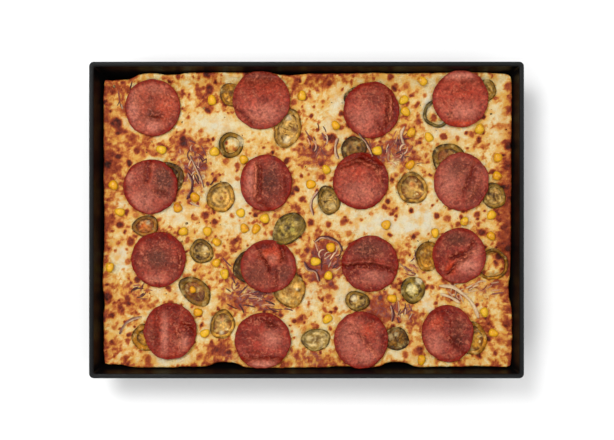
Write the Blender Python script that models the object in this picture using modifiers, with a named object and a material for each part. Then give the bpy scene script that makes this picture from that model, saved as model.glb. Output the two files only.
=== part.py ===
"""Deep dish pizza in its black rectangular pan.

The origin is under the centre of the pan, on the surface that it stands on. X runs along
the pan's long side, Y across it and Z up. Lengths are in metres. The tables of toppings
give places and sizes in millimetres from the pan's centre, which MM turns into metres.
"""

import math
import random

import bmesh
import bpy
import numpy as np
from mathutils import Matrix, Vector, noise
from mathutils.bvhtree import BVHTree

MM = 0.001
SEED = 14
CLEARANCE = 0.4 * MM
WELD = 0.01 * MM
RAY_START = 1.0
OBJECT_NAME = "deep_dish_pizza"

# Pan: pressed sheet with drafted walls, a round heel and a rolled rim
RIM_HALF_LENGTH = 184 * MM
RIM_HALF_WIDTH = 133.75 * MM
PAN_HEIGHT = 57 * MM
SHEET = 1.6 * MM
RIM_BAND = 3.3 * MM
RIM_DROP = 4.6 * MM
RIM_ROUND = 0.6 * MM
WALL_DRAFT = math.tan(math.radians(13))
WALL_CORNER = 2 * MM
HEEL = 4 * MM
HEEL_ROUND = 0.3 * HEEL
CORNER_STEPS = 4

# Crust and cheese, which fill the pan to a wavy edge
FOOD_BASE = SHEET + CLEARANCE
CRUST_TOP = 30 * MM
CHEESE_BASE = CRUST_TOP + CLEARANCE
CHEESE_TOP = 38 * MM
EDGE_REACH = 8 * MM
LIP_DROP = 1.6 * MM
CHEESE_CELLS = (44, 32)
CRUST_CELLS = (14, 10)
CRUST_SHRINK = 0.9 * MM
CRUST_SHOULDER = 6 * MM
EDGE_CROWDING = 0.45
CORNER_PULL = 2.4 * MM
CORNER_SHARPNESS = 26
WAVE_LONG = 24 * MM
WAVE_SHORT = 11 * MM
WAVE_LONG_HEIGHT = 1.3 * MM
WAVE_SHORT_HEIGHT = 0.6 * MM
WAVE_LAYERS = (0.3, 7.7)
BED_DEPTH = 1.7 * MM
BED_MARGIN = 5 * MM
TOPPING_CALM = 0.6

# Least gap from food to wall on each side, how far the edge wanders from it, and how high
# the baked edge climbs the wall
EDGE_GAP = {"left": 1.8 * MM, "right": 0.6 * MM, "front": 0.6 * MM, "back": 0.6 * MM}
EDGE_CLIMB = {"left": 3.6 * MM, "right": 5.0 * MM, "front": 7.5 * MM, "back": 4.6 * MM}
EDGE_WANDER = 0.5 * MM
BITE_SCALE = 6 * MM
BITE_FLOOR = 0.3
EDGE_WAVES = ((31 * MM, 0.0), (17 * MM, 1.9), (11 * MM, 4.1))
SIDE_PHASE = 2.3

# Bites in the edge, as (side, centre along the side, half length, depth)
EDGE_NOTCHES = (
    ("back", -164, 17, 4.5),
    ("back", -118, 9, 1.4),
    ("back", -14, 12, 2.2),
    ("front", -168, 14, 2.6),
    ("front", -82, 22, 1.8),
    ("front", 30, 13, 1.6),
    ("front", 78, 13, 4.4),
    ("front", 154, 15, 4.0),
    ("left", -10, 18, 0.9),
    ("left", -70, 10, 1.4),
    ("right", 58, 14, 1.3),
    ("right", -60, 12, 1.2),
)

# Sliced sausage, as (x, y, half width, half depth, fold direction, fold offset, fold height)
PEPPERONI = (
    (-133, 97, 24.0, 24.2, 60, -12, 0.8),
    (-39, 103, 24.8, 24.6, 20, 14, -0.8),
    (56, 95, 24.1, 24.1, 88, 15, 1.3),
    (133, 105, 24.3, 24.2, 35, -8, 0.7),
    (-135, 29, 23.8, 24.0, 98, 3, -1.3),
    (-35, 32, 22.6, 24.8, 90, 6, 2.4),
    (47, 32, 24.4, 24.8, 125, -13, 2.0),
    (134, 33, 23.6, 25.2, 50, 5, -1.8),
    (-128, -34, 23.6, 23.8, 150, 10, 0.9),
    (-33, -40, 24.0, 22.8, 12, 7, 2.3),
    (55, -38, 24.6, 24.2, 2, 1, 2.3),
    (132, -31, 22.9, 24.0, 38, -2, 2.3),
    (-118, -96, 22.8, 24.2, 80, -13, 1.6),
    (-38, -104, 24.3, 23.6, 15, 12, 0.8),
    (47, -103, 23.4, 24.4, 110, 4, 0.8),
    (122, -98, 22.6, 24.2, -55, -3, 1.9),
)
PEPPERONI_THICKNESS = 1.7 * MM
PEPPERONI_STEPS = 16
PEPPERONI_RINGS = (0.36, 0.7)
PEPPERONI_EDGE = 0.35 * MM
FOLD_HALF_WIDTH = 6 * MM
DRAPE_REACH = 28 * MM
DRAPE_CELL = 2 * MM
DRAPE_PASSES = 24
SETTLE_SPACING = 1.2 * MM
SLICE_SPIN = 47
WALL_MARGIN = 1 * MM

# Pickled pepper slices, as (x, y, half width, half depth, turn, cut)
RING = "ring"
HALVES = "halves"
SOLID = "solid"
PEPPERS = (
    (-65, 65, 10.8, 11.2, 20, RING),
    (-74, 20, 12.5, 12.8, 0, HALVES),
    (-16, 79, 10.8, 18.2, -15, HALVES),
    (41, 61, 11.2, 11.2, 40, SOLID),
    (19, 17, 10.0, 12.4, 10, RING),
    (92, 28, 13.2, 13.7, 70, HALVES),
    (124, 53, 14.7, 14.3, 30, RING),
    (162, 21, 9.9, 11.2, 0, SOLID),
    (-140, -5, 11.2, 9.4, 5, RING),
    (-121, 37, 14.3, 14.7, 60, RING),
    (-91, -27, 10.4, 10.4, 80, HALVES),
    (-97, -62, 15.4, 10.8, -45, RING),
    (-49, -40, 14.7, 15.4, 0, SOLID),
    (-15, -8, 16.2, 12.0, 50, HALVES),
    (-15, -60, 14.6, 15.0, 0, SOLID),
    (92, -61, 11.1, 11.2, 10, RING),
    (106, -31, 10.8, 13.3, 0, SOLID),
    (161, -39, 13.4, 13.0, 25, RING),
    (-140, -102, 11.5, 12.0, 70, RING),
    (-73, -91, 10.8, 12.5, -5, RING),
    (8, -104, 12.4, 9.8, 0, SOLID),
    (44, -70, 11.2, 8.2, -8, HALVES),
    (78, -103, 10.4, 10.8, 50, HALVES),
    (144, -103, 12.4, 14.4, 15, RING),
    (-65, 109, 10.6, 9.8, 0, SOLID),
    (43, 105, 10.4, 10.2, 30, SOLID),
    (113, 93, 12.4, 12.4, 45, RING),
    (154, 112, 10.2, 9.6, 0, SOLID),
)
PEPPER_THICKNESS = 3.2 * MM
PEPPER_STEPS = {RING: 16, HALVES: 16, SOLID: 14}
PEPPER_HOLE = 0.56
PEPPER_HOLE_STEPS = 10
PEPPER_LOBE = (0.26, 0.44)
PEPPER_LOBE_OFFSET = 0.36
PEPPER_LOBE_STEPS = 7
PEPPER_UNEVEN = (0.045, 0.03)
PEPPER_ON_SAUSAGE = 13
SLOPE_REACH = 6 * MM

# Sweetcorn kernels, as (x, y)
KERNELS = (
    (-126, 61), (-97, 20), (-112, 11), (-167, 30), (-80, 59), (25, 82), (84, 104), (86, 94),
    (91, 76), (100, 120), (150, 79), (61, 60), (90, 48), (106, 72), (166, 54), (165, 38),
    (4, 31), (17, 44), (-57, 6), (-36, 1), (-54, -7), (-44, -8), (-86, -10), (-78, -19),
    (-78, -37), (-71, -47), (-170, -41), (-107, -10), (21, -24), (8, -36), (19, -48),
    (-103, -74), (-94, -80), (160, 4), (158, -5), (137, -1), (160, -14), (112, -12),
    (74, -68), (154, -80), (162, -98), (99, -121), (-82, 104), (-162, 7), (-88, -98),
    (18, -86), (-53, 51), (69, -4), (-4, 108),
)
KERNEL_HALF = (4.4 * MM, 3.7 * MM, 2.7 * MM)
KERNEL_TAPER = 0.28
KERNEL_SIZES = (0.94, 1.08)
KERNEL_TIP = 14
KERNEL_SEGMENTS = 7
KERNEL_RINGS = 4
KERNEL_RAISE = 0.9 * MM
KERNEL_MARGIN = 5.1 * MM
KERNEL_SPACING = 9.6 * MM
KERNEL_PUSHES = 6

# Onion strips, as (half thickness, places along the strip)
ONIONS = (
    (1.5, ((-103, 41), (-99, 33), (-100, 25), (-104, 18))),
    (1.5, ((27, 71), (25, 63), (26, 56), (28, 53))),
    (1.4, ((10, 25), (5, 18), (4, 11), (6, 4))),
    (1.4, ((45, 75), (51, 68), (55, 61), (57, 55))),
    (1.5, ((7, -19), (13, -15), (21, -16), (28, -20), (31, -27))),
    (1.5, ((-2, -36), (1, -42), (8, -45), (11, -53))),
    (2.1, ((115, -57), (126, -58), (134, -63), (141, -69), (146, -77), (149, -85))),
    (1.8, ((116, -64), (125, -67), (133, -72))),
    (1.4, ((-162, -99), (-158, -91), (-151, -86), (-143, -84))),
    (1.3, ((-101, 56), (-96, 46), (-92, 37), (-89, 28))),
    (1.5, ((73, -74), (75, -81), (74, -88))),
    (1.5, ((85, 81), (82, 74), (84, 66))),
)
ONION_SPACING = 4.5 * MM
ONION_BEVEL_RESOLUTION = 1
ONION_SMOOTHING = 3
ROUTE_STEPS = 12


def clear_scene():
    """Take away whatever the file holds at the start."""
    for item in list(bpy.data.objects):
        bpy.data.objects.remove(item, do_unlink=True)


def make_collection(name):
    """Return a new collection linked to the scene."""
    collection = bpy.data.collections.new(name)
    bpy.context.scene.collection.children.link(collection)
    return collection


def make_material(name, colour, roughness, metallic=0.0):
    """Return a Principled material of one colour."""
    material = bpy.data.materials.new(name)
    material.use_nodes = True
    shader = material.node_tree.nodes["Principled BSDF"]
    shader.inputs["Base Color"].default_value = (*colour, 1.0)
    shader.inputs["Roughness"].default_value = roughness
    shader.inputs["Metallic"].default_value = metallic
    return material


def add_object(name, mesh, collection, material=None):
    """Put a mesh into the scene as a named object."""
    obj = bpy.data.objects.new(name, mesh)
    collection.objects.link(obj)
    if material:
        mesh.materials.clear()
        mesh.materials.append(material)
    return obj


def mesh_from_bmesh(name, shape):
    """Turn a finished bmesh into a mesh with its faces pointing out."""
    bmesh.ops.recalc_face_normals(shape, faces=shape.faces)
    mesh = bpy.data.meshes.new(name)
    shape.to_mesh(mesh)
    shape.free()
    return mesh


def evaluated_mesh(obj, name):
    """Return the object's evaluated mesh with coincident points welded, and drop the object."""
    graph = bpy.context.evaluated_depsgraph_get()
    mesh = bpy.data.meshes.new_from_object(obj.evaluated_get(graph))
    mesh.name = name
    welded = bmesh.new()
    welded.from_mesh(mesh)
    bmesh.ops.remove_doubles(welded, verts=welded.verts, dist=WELD)
    bmesh.ops.recalc_face_normals(welded, faces=welded.faces)
    welded.to_mesh(mesh)
    welded.free()
    bpy.data.objects.remove(obj, do_unlink=True)
    return mesh


def shade_round(mesh, angle=40):
    """Shade a mesh smooth, with sharp edges past an angle in degrees."""
    mesh.shade_smooth()
    mesh.set_sharp_from_angle(angle=math.radians(angle))


def loft(name, rings):
    """Skin a stack of rings of equal length and close both ends."""
    shape = bmesh.new()
    loops = [[shape.verts.new(point) for point in ring] for ring in rings]
    count = len(rings[0])
    for lower, upper in zip(loops, loops[1:]):
        for i in range(count):
            j = (i + 1) % count
            shape.faces.new((lower[i], lower[j], upper[j], upper[i]))
    shape.faces.new(loops[0])
    shape.faces.new(loops[-1])
    return mesh_from_bmesh(name, shape)


def wall_inset(z):
    """Distance from the rim's outer edge in to the wall's inner face at height z."""
    return RIM_BAND + (PAN_HEIGHT - RIM_ROUND - z) * WALL_DRAFT


def rounded_rectangle(inset, radius, z):
    """Ring of points round the pan's rectangle, drawn in by inset, with round corners."""
    half_x = RIM_HALF_LENGTH - inset - radius
    half_y = RIM_HALF_WIDTH - inset - radius
    ring = []
    for corner, (side_x, side_y) in enumerate(((1, 1), (-1, 1), (-1, -1), (1, -1))):
        for step in range(CORNER_STEPS + 1):
            angle = math.pi / 2 * (corner + step / CORNER_STEPS)
            ring.append((side_x * half_x + radius * math.cos(angle),
                         side_y * half_y + radius * math.sin(angle), z))
    return ring


def pan_profile():
    """Section of the pan as (inset, corner radius, z), from underside to inner floor."""
    skin = SHEET * math.hypot(1, WALL_DRAFT)
    rim_bottom = PAN_HEIGHT - RIM_DROP
    outer = WALL_CORNER + SHEET
    heel = outer + HEEL / 2
    inner = WALL_CORNER
    return (
        (wall_inset(0) - skin + HEEL, outer, 0),
        (wall_inset(HEEL_ROUND) - skin + HEEL_ROUND, heel, HEEL_ROUND),
        (wall_inset(HEEL) - skin, heel, HEEL),
        (wall_inset(rim_bottom) - skin, outer, rim_bottom),
        (RIM_ROUND, outer, rim_bottom),
        (0, outer + RIM_ROUND, rim_bottom + RIM_ROUND),
        (0, outer + RIM_ROUND, PAN_HEIGHT - RIM_ROUND * 3 / 2),
        (RIM_ROUND, outer, PAN_HEIGHT - RIM_ROUND / 3),
        (RIM_ROUND * 2, outer, PAN_HEIGHT),
        (RIM_BAND - RIM_ROUND, inner, PAN_HEIGHT),
        (RIM_BAND, inner, PAN_HEIGHT - RIM_ROUND),
        (wall_inset(HEEL + SHEET), inner, HEEL + SHEET),
        (wall_inset(HEEL_ROUND + SHEET) + HEEL_ROUND, inner, HEEL_ROUND + SHEET),
        (wall_inset(SHEET) + HEEL, inner, SHEET),
    )


def build_pan(collection, material):
    """Pan: one closed shell lofted from its underside over the rim to its floor."""
    rings = [rounded_rectangle(inset, radius, z) for inset, radius, z in pan_profile()]
    mesh = loft("pan", rings)
    shade_round(mesh)
    return add_object("pan", mesh, collection, material)


def edge_gap(side, along):
    """Gap between wall and food on one side, at a place along it: wander plus notches."""
    gap = EDGE_GAP[side]
    for order, (length, phase) in enumerate(EDGE_WAVES):
        shift = phase + SIDE_PHASE * list(EDGE_GAP).index(side)
        gap = gap + EDGE_WANDER / (order + 1) * (1 + np.sin(along / length + shift))
    for notch_side, centre, half, depth in EDGE_NOTCHES:
        if notch_side == side:
            gap = gap + depth * MM * np.exp(-((along - centre * MM) / (half * MM)) ** 4)
    return gap


def crowded(cells):
    """Grid lines from -1 to 1 that lie closer together near both ends."""
    even = np.linspace(-1, 1, cells + 1)
    return (1 - EDGE_CROWDING) * even + EDGE_CROWDING * np.sin(math.pi / 2 * even)


def food_xy(u, v, z):
    """Place of grid point (u, v), each -1 to 1, inside the food's wavy edge at height z."""
    half_x = RIM_HALF_LENGTH - wall_inset(z)
    half_y = RIM_HALF_WIDTH - wall_inset(z)
    x_even = u * half_x
    y_even = v * half_y
    left = -half_x + edge_gap("left", y_even)
    right = half_x - edge_gap("right", y_even)
    front = -half_y + edge_gap("front", x_even)
    back = half_y - edge_gap("back", x_even)
    pull = CORNER_PULL * np.abs(u * v) ** CORNER_SHARPNESS
    x = left + (right - left) * (u + 1) / 2 - np.sign(u) * pull
    y = front + (back - front) * (v + 1) / 2 - np.sign(v) * pull
    return x, y


def food_ring(cells, z, draw_in=0.0):
    """Closed ring of points along the food's edge at height z, drawn in by a distance."""
    across = np.linspace(-1, 1, cells[0] + 1)
    along = np.linspace(-1, 1, cells[1] + 1)
    corners = [(u, -1.0) for u in across[:-1]]
    corners += [(1.0, v) for v in along[:-1]]
    corners += [(u, 1.0) for u in across[:0:-1]]
    corners += [(-1.0, v) for v in along[:0:-1]]
    ring = []
    for u, v in corners:
        x, y = food_xy(u, v, z)
        ring.append((x - u * draw_in, y - v * draw_in, z))
    return ring


def build_crust(collection, material):
    """Crust: a slab that follows the drafted wall, round at its foot and shoulder."""
    levels = (
        (FOOD_BASE, HEEL + CRUST_SHRINK),
        (FOOD_BASE + HEEL, CRUST_SHRINK),
        (CRUST_TOP - CRUST_SHOULDER, CRUST_SHRINK / 2),
        (CRUST_TOP, CRUST_SHRINK),
    )
    rings = [food_ring(CRUST_CELLS, z, draw_in) for z, draw_in in levels]
    mesh = loft("crust", rings)
    shade_round(mesh, 30)
    return add_object("crust", mesh, collection, material)


def under_topping(x, y, centre_x, centre_y, half_x, half_y, turn, margin):
    """How far (x, y) lies under an oval topping: 1 inside, falling to 0 past its margin."""
    angle = math.radians(turn)
    dx = x - centre_x * MM
    dy = y - centre_y * MM
    along = dx * math.cos(angle) + dy * math.sin(angle)
    across = dy * math.cos(angle) - dx * math.sin(angle)
    mean_half = (half_x + half_y) / 2 * MM
    reach = (math.hypot(along / half_x, across / half_y) / MM - 1) * mean_half
    t = min(max(1 - reach / margin, 0.0), 1.0)
    return t * t * (3 - 2 * t)


def edge_climb(x, y, u, v):
    """How high the edge stands above the cheese at a place: each side's climb fades inwards.

    A side climbs less where its edge is bitten away from the wall.
    """
    distances = {
        "left": (1 + u) * RIM_HALF_LENGTH,
        "right": (1 - u) * RIM_HALF_LENGTH,
        "front": (1 + v) * RIM_HALF_WIDTH,
        "back": (1 - v) * RIM_HALF_WIDTH,
    }
    climb = 0.0
    for side, distance in distances.items():
        along = y if side in ("left", "right") else x
        bitten = (edge_gap(side, along) - EDGE_GAP[side]) / BITE_SCALE
        height = EDGE_CLIMB[side] * max(1 - bitten, BITE_FLOOR)
        climb = max(climb, height * math.exp(-(distance / EDGE_REACH) ** 2))
    return climb


def cheese_height(x, y, u, v):
    """Height of the melted cheese: long and short waves, a raised edge and topping beds."""
    swell = noise.noise(Vector((x / WAVE_LONG, y / WAVE_LONG, WAVE_LAYERS[0])))
    ripple = noise.noise(Vector((x / WAVE_SHORT, y / WAVE_SHORT, WAVE_LAYERS[1])))
    rise = edge_climb(x, y, u, v)
    lip = LIP_DROP if max(abs(u), abs(v)) == 1 else 0.0
    flat = 0.0
    for px, py, half_x, half_y, *_ in PEPPERONI:
        flat = max(flat, under_topping(x, y, px, py, half_x, half_y, 0, BED_MARGIN))
    bed = 0.0
    for px, py, half_x, half_y, turn, _ in PEPPERS:
        bed = max(bed, under_topping(x, y, px, py, half_x, half_y, turn, BED_MARGIN))
    waves = WAVE_LONG_HEIGHT * swell + WAVE_SHORT_HEIGHT * ripple
    calm = 1 - TOPPING_CALM * max(flat, bed)
    return CHEESE_TOP + rise - lip + waves * calm - BED_DEPTH * bed


def build_cheese_slab():
    """Cheese without kernels: a grid shaped by cheese_height, with its edge taken down."""
    cells_x, cells_y = CHEESE_CELLS
    bpy.ops.mesh.primitive_grid_add(x_subdivisions=cells_x, y_subdivisions=cells_y, size=2)
    grid = bpy.context.object
    shape = bmesh.new()
    shape.from_mesh(grid.data)
    bpy.data.objects.remove(grid, do_unlink=True)
    lines_x = crowded(cells_x)
    lines_y = crowded(cells_y)
    grid_place = {}
    for vert in shape.verts:
        u = lines_x[round((vert.co.x + 1) / 2 * cells_x)]
        v = lines_y[round((vert.co.y + 1) / 2 * cells_y)]
        grid_place[vert] = (u, v)
        x, y = food_xy(u, v, CHEESE_TOP)
        height = cheese_height(x, y, u, v)
        vert.co = (*food_xy(u, v, height), height)
    rim = [edge for edge in shape.edges if edge.is_boundary]
    skirt = bmesh.ops.extrude_edge_only(shape, edges=rim)["geom"]
    for vert in (item for item in skirt if isinstance(item, bmesh.types.BMVert)):
        above = next(edge.other_vert(vert) for edge in vert.link_edges
                     if edge.other_vert(vert) in grid_place)
        u, v = grid_place[above]
        vert.co = (*food_xy(u, v, CHEESE_BASE), CHEESE_BASE)
    base = [item for item in skirt if isinstance(item, bmesh.types.BMEdge) and item.is_boundary]
    bmesh.ops.edgeloop_fill(shape, edges=base)
    return mesh_from_bmesh("cheese", shape)


def topping_distance(place, topping):
    """Distance out from an oval topping's edge to a place, and the way out from its centre."""
    x, y, half_x, half_y = topping[:4]
    turn = topping[4] if topping in PEPPERS else 0
    away = place - Vector((x, y)) * MM
    angle = math.atan2(away.y, away.x) - math.radians(turn)
    edge = half_x * half_y / math.hypot(half_y * math.cos(angle), half_x * math.sin(angle))
    return away.length - edge * MM, away.normalized()


def kernel_place(x, y):
    """Push a kernel out of any topping that it would touch."""
    place = Vector((x, y)) * MM
    for _ in range(KERNEL_PUSHES):
        for topping in PEPPERONI + PEPPERS:
            distance, way_out = topping_distance(place, topping)
            if distance < KERNEL_MARGIN:
                place = place + way_out * (KERNEL_MARGIN - distance)
    return place


def is_clear(place, laid):
    """Whether a kernel at a place touches no topping and no kernel laid before."""
    clear = all(topping_distance(place, topping)[0] > KERNEL_MARGIN - CLEARANCE
                for topping in PEPPERONI + PEPPERS)
    return clear and all((place - other).length > KERNEL_SPACING for other in laid)


def build_kernels(collection, ground, draw):
    """Kernels: squashed, tapered balls pressed into the cheese, clear of other toppings."""
    laid = []
    for x, y in KERNELS:
        place = kernel_place(x, y)
        if not is_clear(place, laid):
            continue
        laid.append(place)
        shape = bmesh.new()
        bmesh.ops.create_uvsphere(shape, u_segments=KERNEL_SEGMENTS, v_segments=KERNEL_RINGS,
                                  radius=1.0)
        size = draw.uniform(*KERNEL_SIZES)
        for vert in shape.verts:
            narrow = 1 - KERNEL_TAPER * vert.co.x
            vert.co.y *= narrow
            vert.co = Vector((vert.co[i] * KERNEL_HALF[i] * size for i in range(3)))
        turn = Matrix.Rotation(draw.uniform(0, 2 * math.pi), 4, "Z")
        tip = Matrix.Rotation(math.radians(draw.uniform(-KERNEL_TIP, KERNEL_TIP)), 4, "Y")
        height = ground.height(place.x, place.y) + KERNEL_RAISE
        shape.transform(Matrix.Translation((place.x, place.y, height)) @ turn @ tip)
        add_object(f"kernel_{len(laid)}", mesh_from_bmesh("kernel", shape), collection)


class Ground:
    """The top of everything laid so far, read by rays cast straight down."""

    def __init__(self):
        self.trees = []

    def add(self, mesh):
        """Lay one more mesh, given in world coordinates."""
        shape = bmesh.new()
        shape.from_mesh(mesh)
        tree = BVHTree.FromBMesh(shape)
        shape.free()
        points = np.array([vert.co[:2] for vert in mesh.vertices])
        self.trees.append((tree, points.min(axis=0), points.max(axis=0)))

    def height(self, x, y):
        """Highest point over (x, y), or None where nothing lies."""
        best = None
        for tree, low, high in self.trees:
            if low[0] <= x <= high[0] and low[1] <= y <= high[1]:
                hit = tree.ray_cast(Vector((x, y, RAY_START)), Vector((0, 0, -1)))[0]
                if hit is not None and (best is None or hit.z > best):
                    best = hit.z
        return best


def settle(mesh, ground):
    """Raise or lower a mesh until its nearest point is one clearance above the ground."""
    shape = bmesh.new()
    shape.from_mesh(mesh)
    tree = BVHTree.FromBMesh(shape)
    shape.free()
    points = np.array([vert.co for vert in mesh.vertices])
    low = points.min(axis=0)
    high = points.max(axis=0)
    spots = [(x, y) for x in np.arange(low[0], high[0], SETTLE_SPACING)
             for y in np.arange(low[1], high[1], SETTLE_SPACING)]
    spots += [(x, y) for x, y, _ in points]
    lift = -RAY_START
    for x, y in spots:
        under = tree.ray_cast(Vector((x, y, -RAY_START)), Vector((0, 0, 1)))[0]
        if under is not None:
            support = ground.height(x, y)
            if support is not None:
                lift = max(lift, support - under.z)
    mesh.transform(Matrix.Translation((0, 0, lift + CLEARANCE)))


def drape_field(ground, centre, reach):
    """Smooth sheet over the ground round a centre, which never dips below it.

    Heights on a square grid are averaged with their neighbours again and again, and after
    each pass no height may be lower than the ground.
    """
    count = int(2 * reach / DRAPE_CELL) + 1
    span = np.linspace(-reach, reach, count)
    bare = np.full((count, count), np.nan)
    for i, dx in enumerate(span):
        for j, dy in enumerate(span):
            height = ground.height(centre[0] + dx, centre[1] + dy)
            if height is not None:
                bare[i, j] = height
    floor = np.where(np.isnan(bare), np.nanmin(bare), bare)
    sheet = floor.copy()
    for _ in range(DRAPE_PASSES):
        wide = np.pad(sheet, 1, mode="edge")
        mean = (wide[:-2, 1:-1] + wide[2:, 1:-1] + wide[1:-1, :-2] + wide[1:-1, 2:]) / 4
        sheet = np.maximum(floor, mean)
    return span, sheet


def read_field(span, sheet, x, y):
    """Height of a draped sheet at (x, y), blended between its four nearest points."""
    step = span[1] - span[0]
    i = min(max((x - span[0]) / step, 0), len(span) - 1.001)
    j = min(max((y - span[0]) / step, 0), len(span) - 1.001)
    a, b = int(i), int(j)
    s, t = i - a, j - b
    near = sheet[a, b] * (1 - t) + sheet[a, b + 1] * t
    far = sheet[a + 1, b] * (1 - t) + sheet[a + 1, b + 1] * t
    return near * (1 - s) + far * s


def pepperoni_disc():
    """Flat round slice of radius 1: a profile turned about the Z axis."""
    thickness = PEPPERONI_THICKNESS
    top = [(0, thickness)] + [(ring, thickness) for ring in PEPPERONI_RINGS]
    side = [(1, thickness - PEPPERONI_EDGE), (1, PEPPERONI_EDGE)]
    bottom = [(ring, 0) for ring in reversed(PEPPERONI_RINGS)] + [(0, 0)]
    profile = top + side + bottom
    mesh = bpy.data.meshes.new("pepperoni_profile")
    points = [(radius, 0, z) for radius, z in profile]
    mesh.from_pydata(points, [(i, i + 1) for i in range(len(points) - 1)], [])
    obj = add_object("pepperoni_profile", mesh, bpy.context.scene.collection)
    screw = obj.modifiers.new("turn", "SCREW")
    screw.steps = PEPPERONI_STEPS
    screw.render_steps = PEPPERONI_STEPS
    screw.use_merge_vertices = True
    screw.merge_threshold = 0.0001
    return evaluated_mesh(obj, "pepperoni_disc")


def inside_wall(centre, reach, height):
    """Move a centre in from the wall so that a piece of some reach clears it."""
    limit_x = RIM_HALF_LENGTH - wall_inset(height) - WALL_MARGIN - reach[0]
    limit_y = RIM_HALF_WIDTH - wall_inset(height) - WALL_MARGIN - reach[1]
    x = min(max(centre[0], -limit_x), limit_x)
    y = min(max(centre[1], -limit_y), limit_y)
    return x, y


def build_pepperoni(collection, material, ground):
    """Sausage slices, each draped over what lies under it and creased by its own fold."""
    disc = pepperoni_disc()
    slices = []
    for number, (x, y, half_x, half_y, line, offset, fold) in enumerate(PEPPERONI, 1):
        name = f"pepperoni_{number:02d}"
        centre = inside_wall((x * MM, y * MM), (half_x * MM, half_y * MM), CHEESE_TOP)
        span, sheet = drape_field(ground, centre, DRAPE_REACH)
        mesh = disc.copy()
        mesh.name = name
        spin = Matrix.Rotation(math.radians(SLICE_SPIN * number), 3, "Z")
        normal = math.radians(line + 90)
        for vert in mesh.vertices:
            flat = spin @ vert.co
            dx = flat.x * half_x * MM
            dy = flat.y * half_y * MM
            across = dx * math.cos(normal) + dy * math.sin(normal) - offset * MM
            crease = fold * MM * math.exp(-(across / FOLD_HALF_WIDTH) ** 2)
            height = read_field(span, sheet, dx, dy) + crease + vert.co.z
            vert.co = (centre[0] + dx, centre[1] + dy, height)
        settle(mesh, ground)
        shade_round(mesh, 50)
        slices.append(add_object(name, mesh, collection, material))
    for item in slices:
        ground.add(item.data)
    bpy.data.meshes.remove(disc)
    return slices


def oval(half_x, half_y, steps, centre=(0.0, 0.0), uneven=(0.0, 0.0)):
    """Closed outline of an oval with two slow waves in its radius."""
    points = []
    for step in range(steps):
        angle = 2 * math.pi * step / steps
        slow = PEPPER_UNEVEN[0] * math.cos(2 * angle + uneven[0])
        quick = PEPPER_UNEVEN[1] * math.cos(3 * angle + uneven[1])
        stretch = 1 + slow + quick
        points.append((centre[0] + half_x * stretch * math.cos(angle),
                       centre[1] + half_y * stretch * math.sin(angle)))
    return points


def pepper_outlines(half_x, half_y, cut, uneven):
    """Outline of a slice and of its openings, in metres about its centre."""
    outlines = [oval(half_x, half_y, PEPPER_STEPS[cut], uneven=uneven)]
    if cut == RING:
        hole_x, hole_y = half_x * PEPPER_HOLE, half_y * PEPPER_HOLE
        outlines.append(oval(hole_x, hole_y, PEPPER_HOLE_STEPS, uneven=uneven))
    if cut == HALVES:
        lobe_x, lobe_y = half_x * PEPPER_LOBE[0], half_y * PEPPER_LOBE[1]
        for side in (-1, 1):
            centre = (side * half_x * PEPPER_LOBE_OFFSET, 0)
            outlines.append(oval(lobe_x, lobe_y, PEPPER_LOBE_STEPS, centre))
    return outlines


def pepper_slice(name, outlines):
    """Flat slice: a filled 2D curve given its thickness, as a mesh."""
    curve = bpy.data.curves.new(name, "CURVE")
    curve.dimensions = "2D"
    curve.fill_mode = "BOTH"
    curve.extrude = PEPPER_THICKNESS / 2
    for outline in outlines:
        spline = curve.splines.new("POLY")
        spline.points.add(len(outline) - 1)
        for point, (x, y) in zip(spline.points, outline):
            point.co = (x, y, 0, 1)
        spline.use_cyclic_u = True
    obj = bpy.data.objects.new(name, curve)
    bpy.context.scene.collection.objects.link(obj)
    mesh = evaluated_mesh(obj, name)
    bpy.data.curves.remove(curve)
    return mesh


def ground_normal(ground, x, y, reach):
    """Normal of the ground round a place, from heights at four points."""
    def height(dx, dy):
        found = ground.height(x + dx, y + dy)
        return CHEESE_TOP if found is None else found

    slope_x = (height(reach, 0) - height(-reach, 0)) / (2 * reach)
    slope_y = (height(0, reach) - height(0, -reach)) / (2 * reach)
    return Vector((-slope_x, -slope_y, 1)).normalized()


def build_pepper(number, collection, material, ground, draw):
    """One pepper slice, laid flat to the slope of what is under it."""
    x, y, half_x, half_y, turn, cut = PEPPERS[number]
    name = f"jalapeno_{number + 1:02d}"
    uneven = (draw.uniform(0, 6), draw.uniform(0, 6))
    mesh = pepper_slice(name, pepper_outlines(half_x * MM, half_y * MM, cut, uneven))
    normal = ground_normal(ground, x * MM, y * MM, SLOPE_REACH)
    tilt = Vector((0, 0, 1)).rotation_difference(normal).to_matrix().to_4x4()
    spin = Matrix.Rotation(math.radians(turn), 4, "Z")
    mesh.transform(Matrix.Translation((x * MM, y * MM, 0)) @ tilt @ spin)
    settle(mesh, ground)
    return add_object(name, mesh, collection, material)


def smooth_route(places):
    """Evenly spaced points on a smooth curve through hand-placed ones."""
    ends = [places[0]] + list(places) + [places[-1]]
    fine = []
    for a, b, c, d in zip(ends, ends[1:], ends[2:], ends[3:]):
        a, b, c, d = (np.array(item, dtype=float) * MM for item in (a, b, c, d))
        for t in np.linspace(0, 1, ROUTE_STEPS, endpoint=False):
            fine.append(0.5 * (2 * b + (c - a) * t + (2 * a - 5 * b + 4 * c - d) * t ** 2
                               + (3 * b - a - 3 * c + d) * t ** 3))
    fine.append(np.array(places[-1], dtype=float) * MM)
    fine = np.array(fine)
    walked = np.concatenate(([0], np.cumsum(np.linalg.norm(np.diff(fine, axis=0), axis=1))))
    count = max(4, round(walked[-1] / ONION_SPACING) + 1)
    marks = np.linspace(0, walked[-1], count)
    return np.column_stack([np.interp(marks, walked, fine[:, axis]) for axis in (0, 1)])


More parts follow.
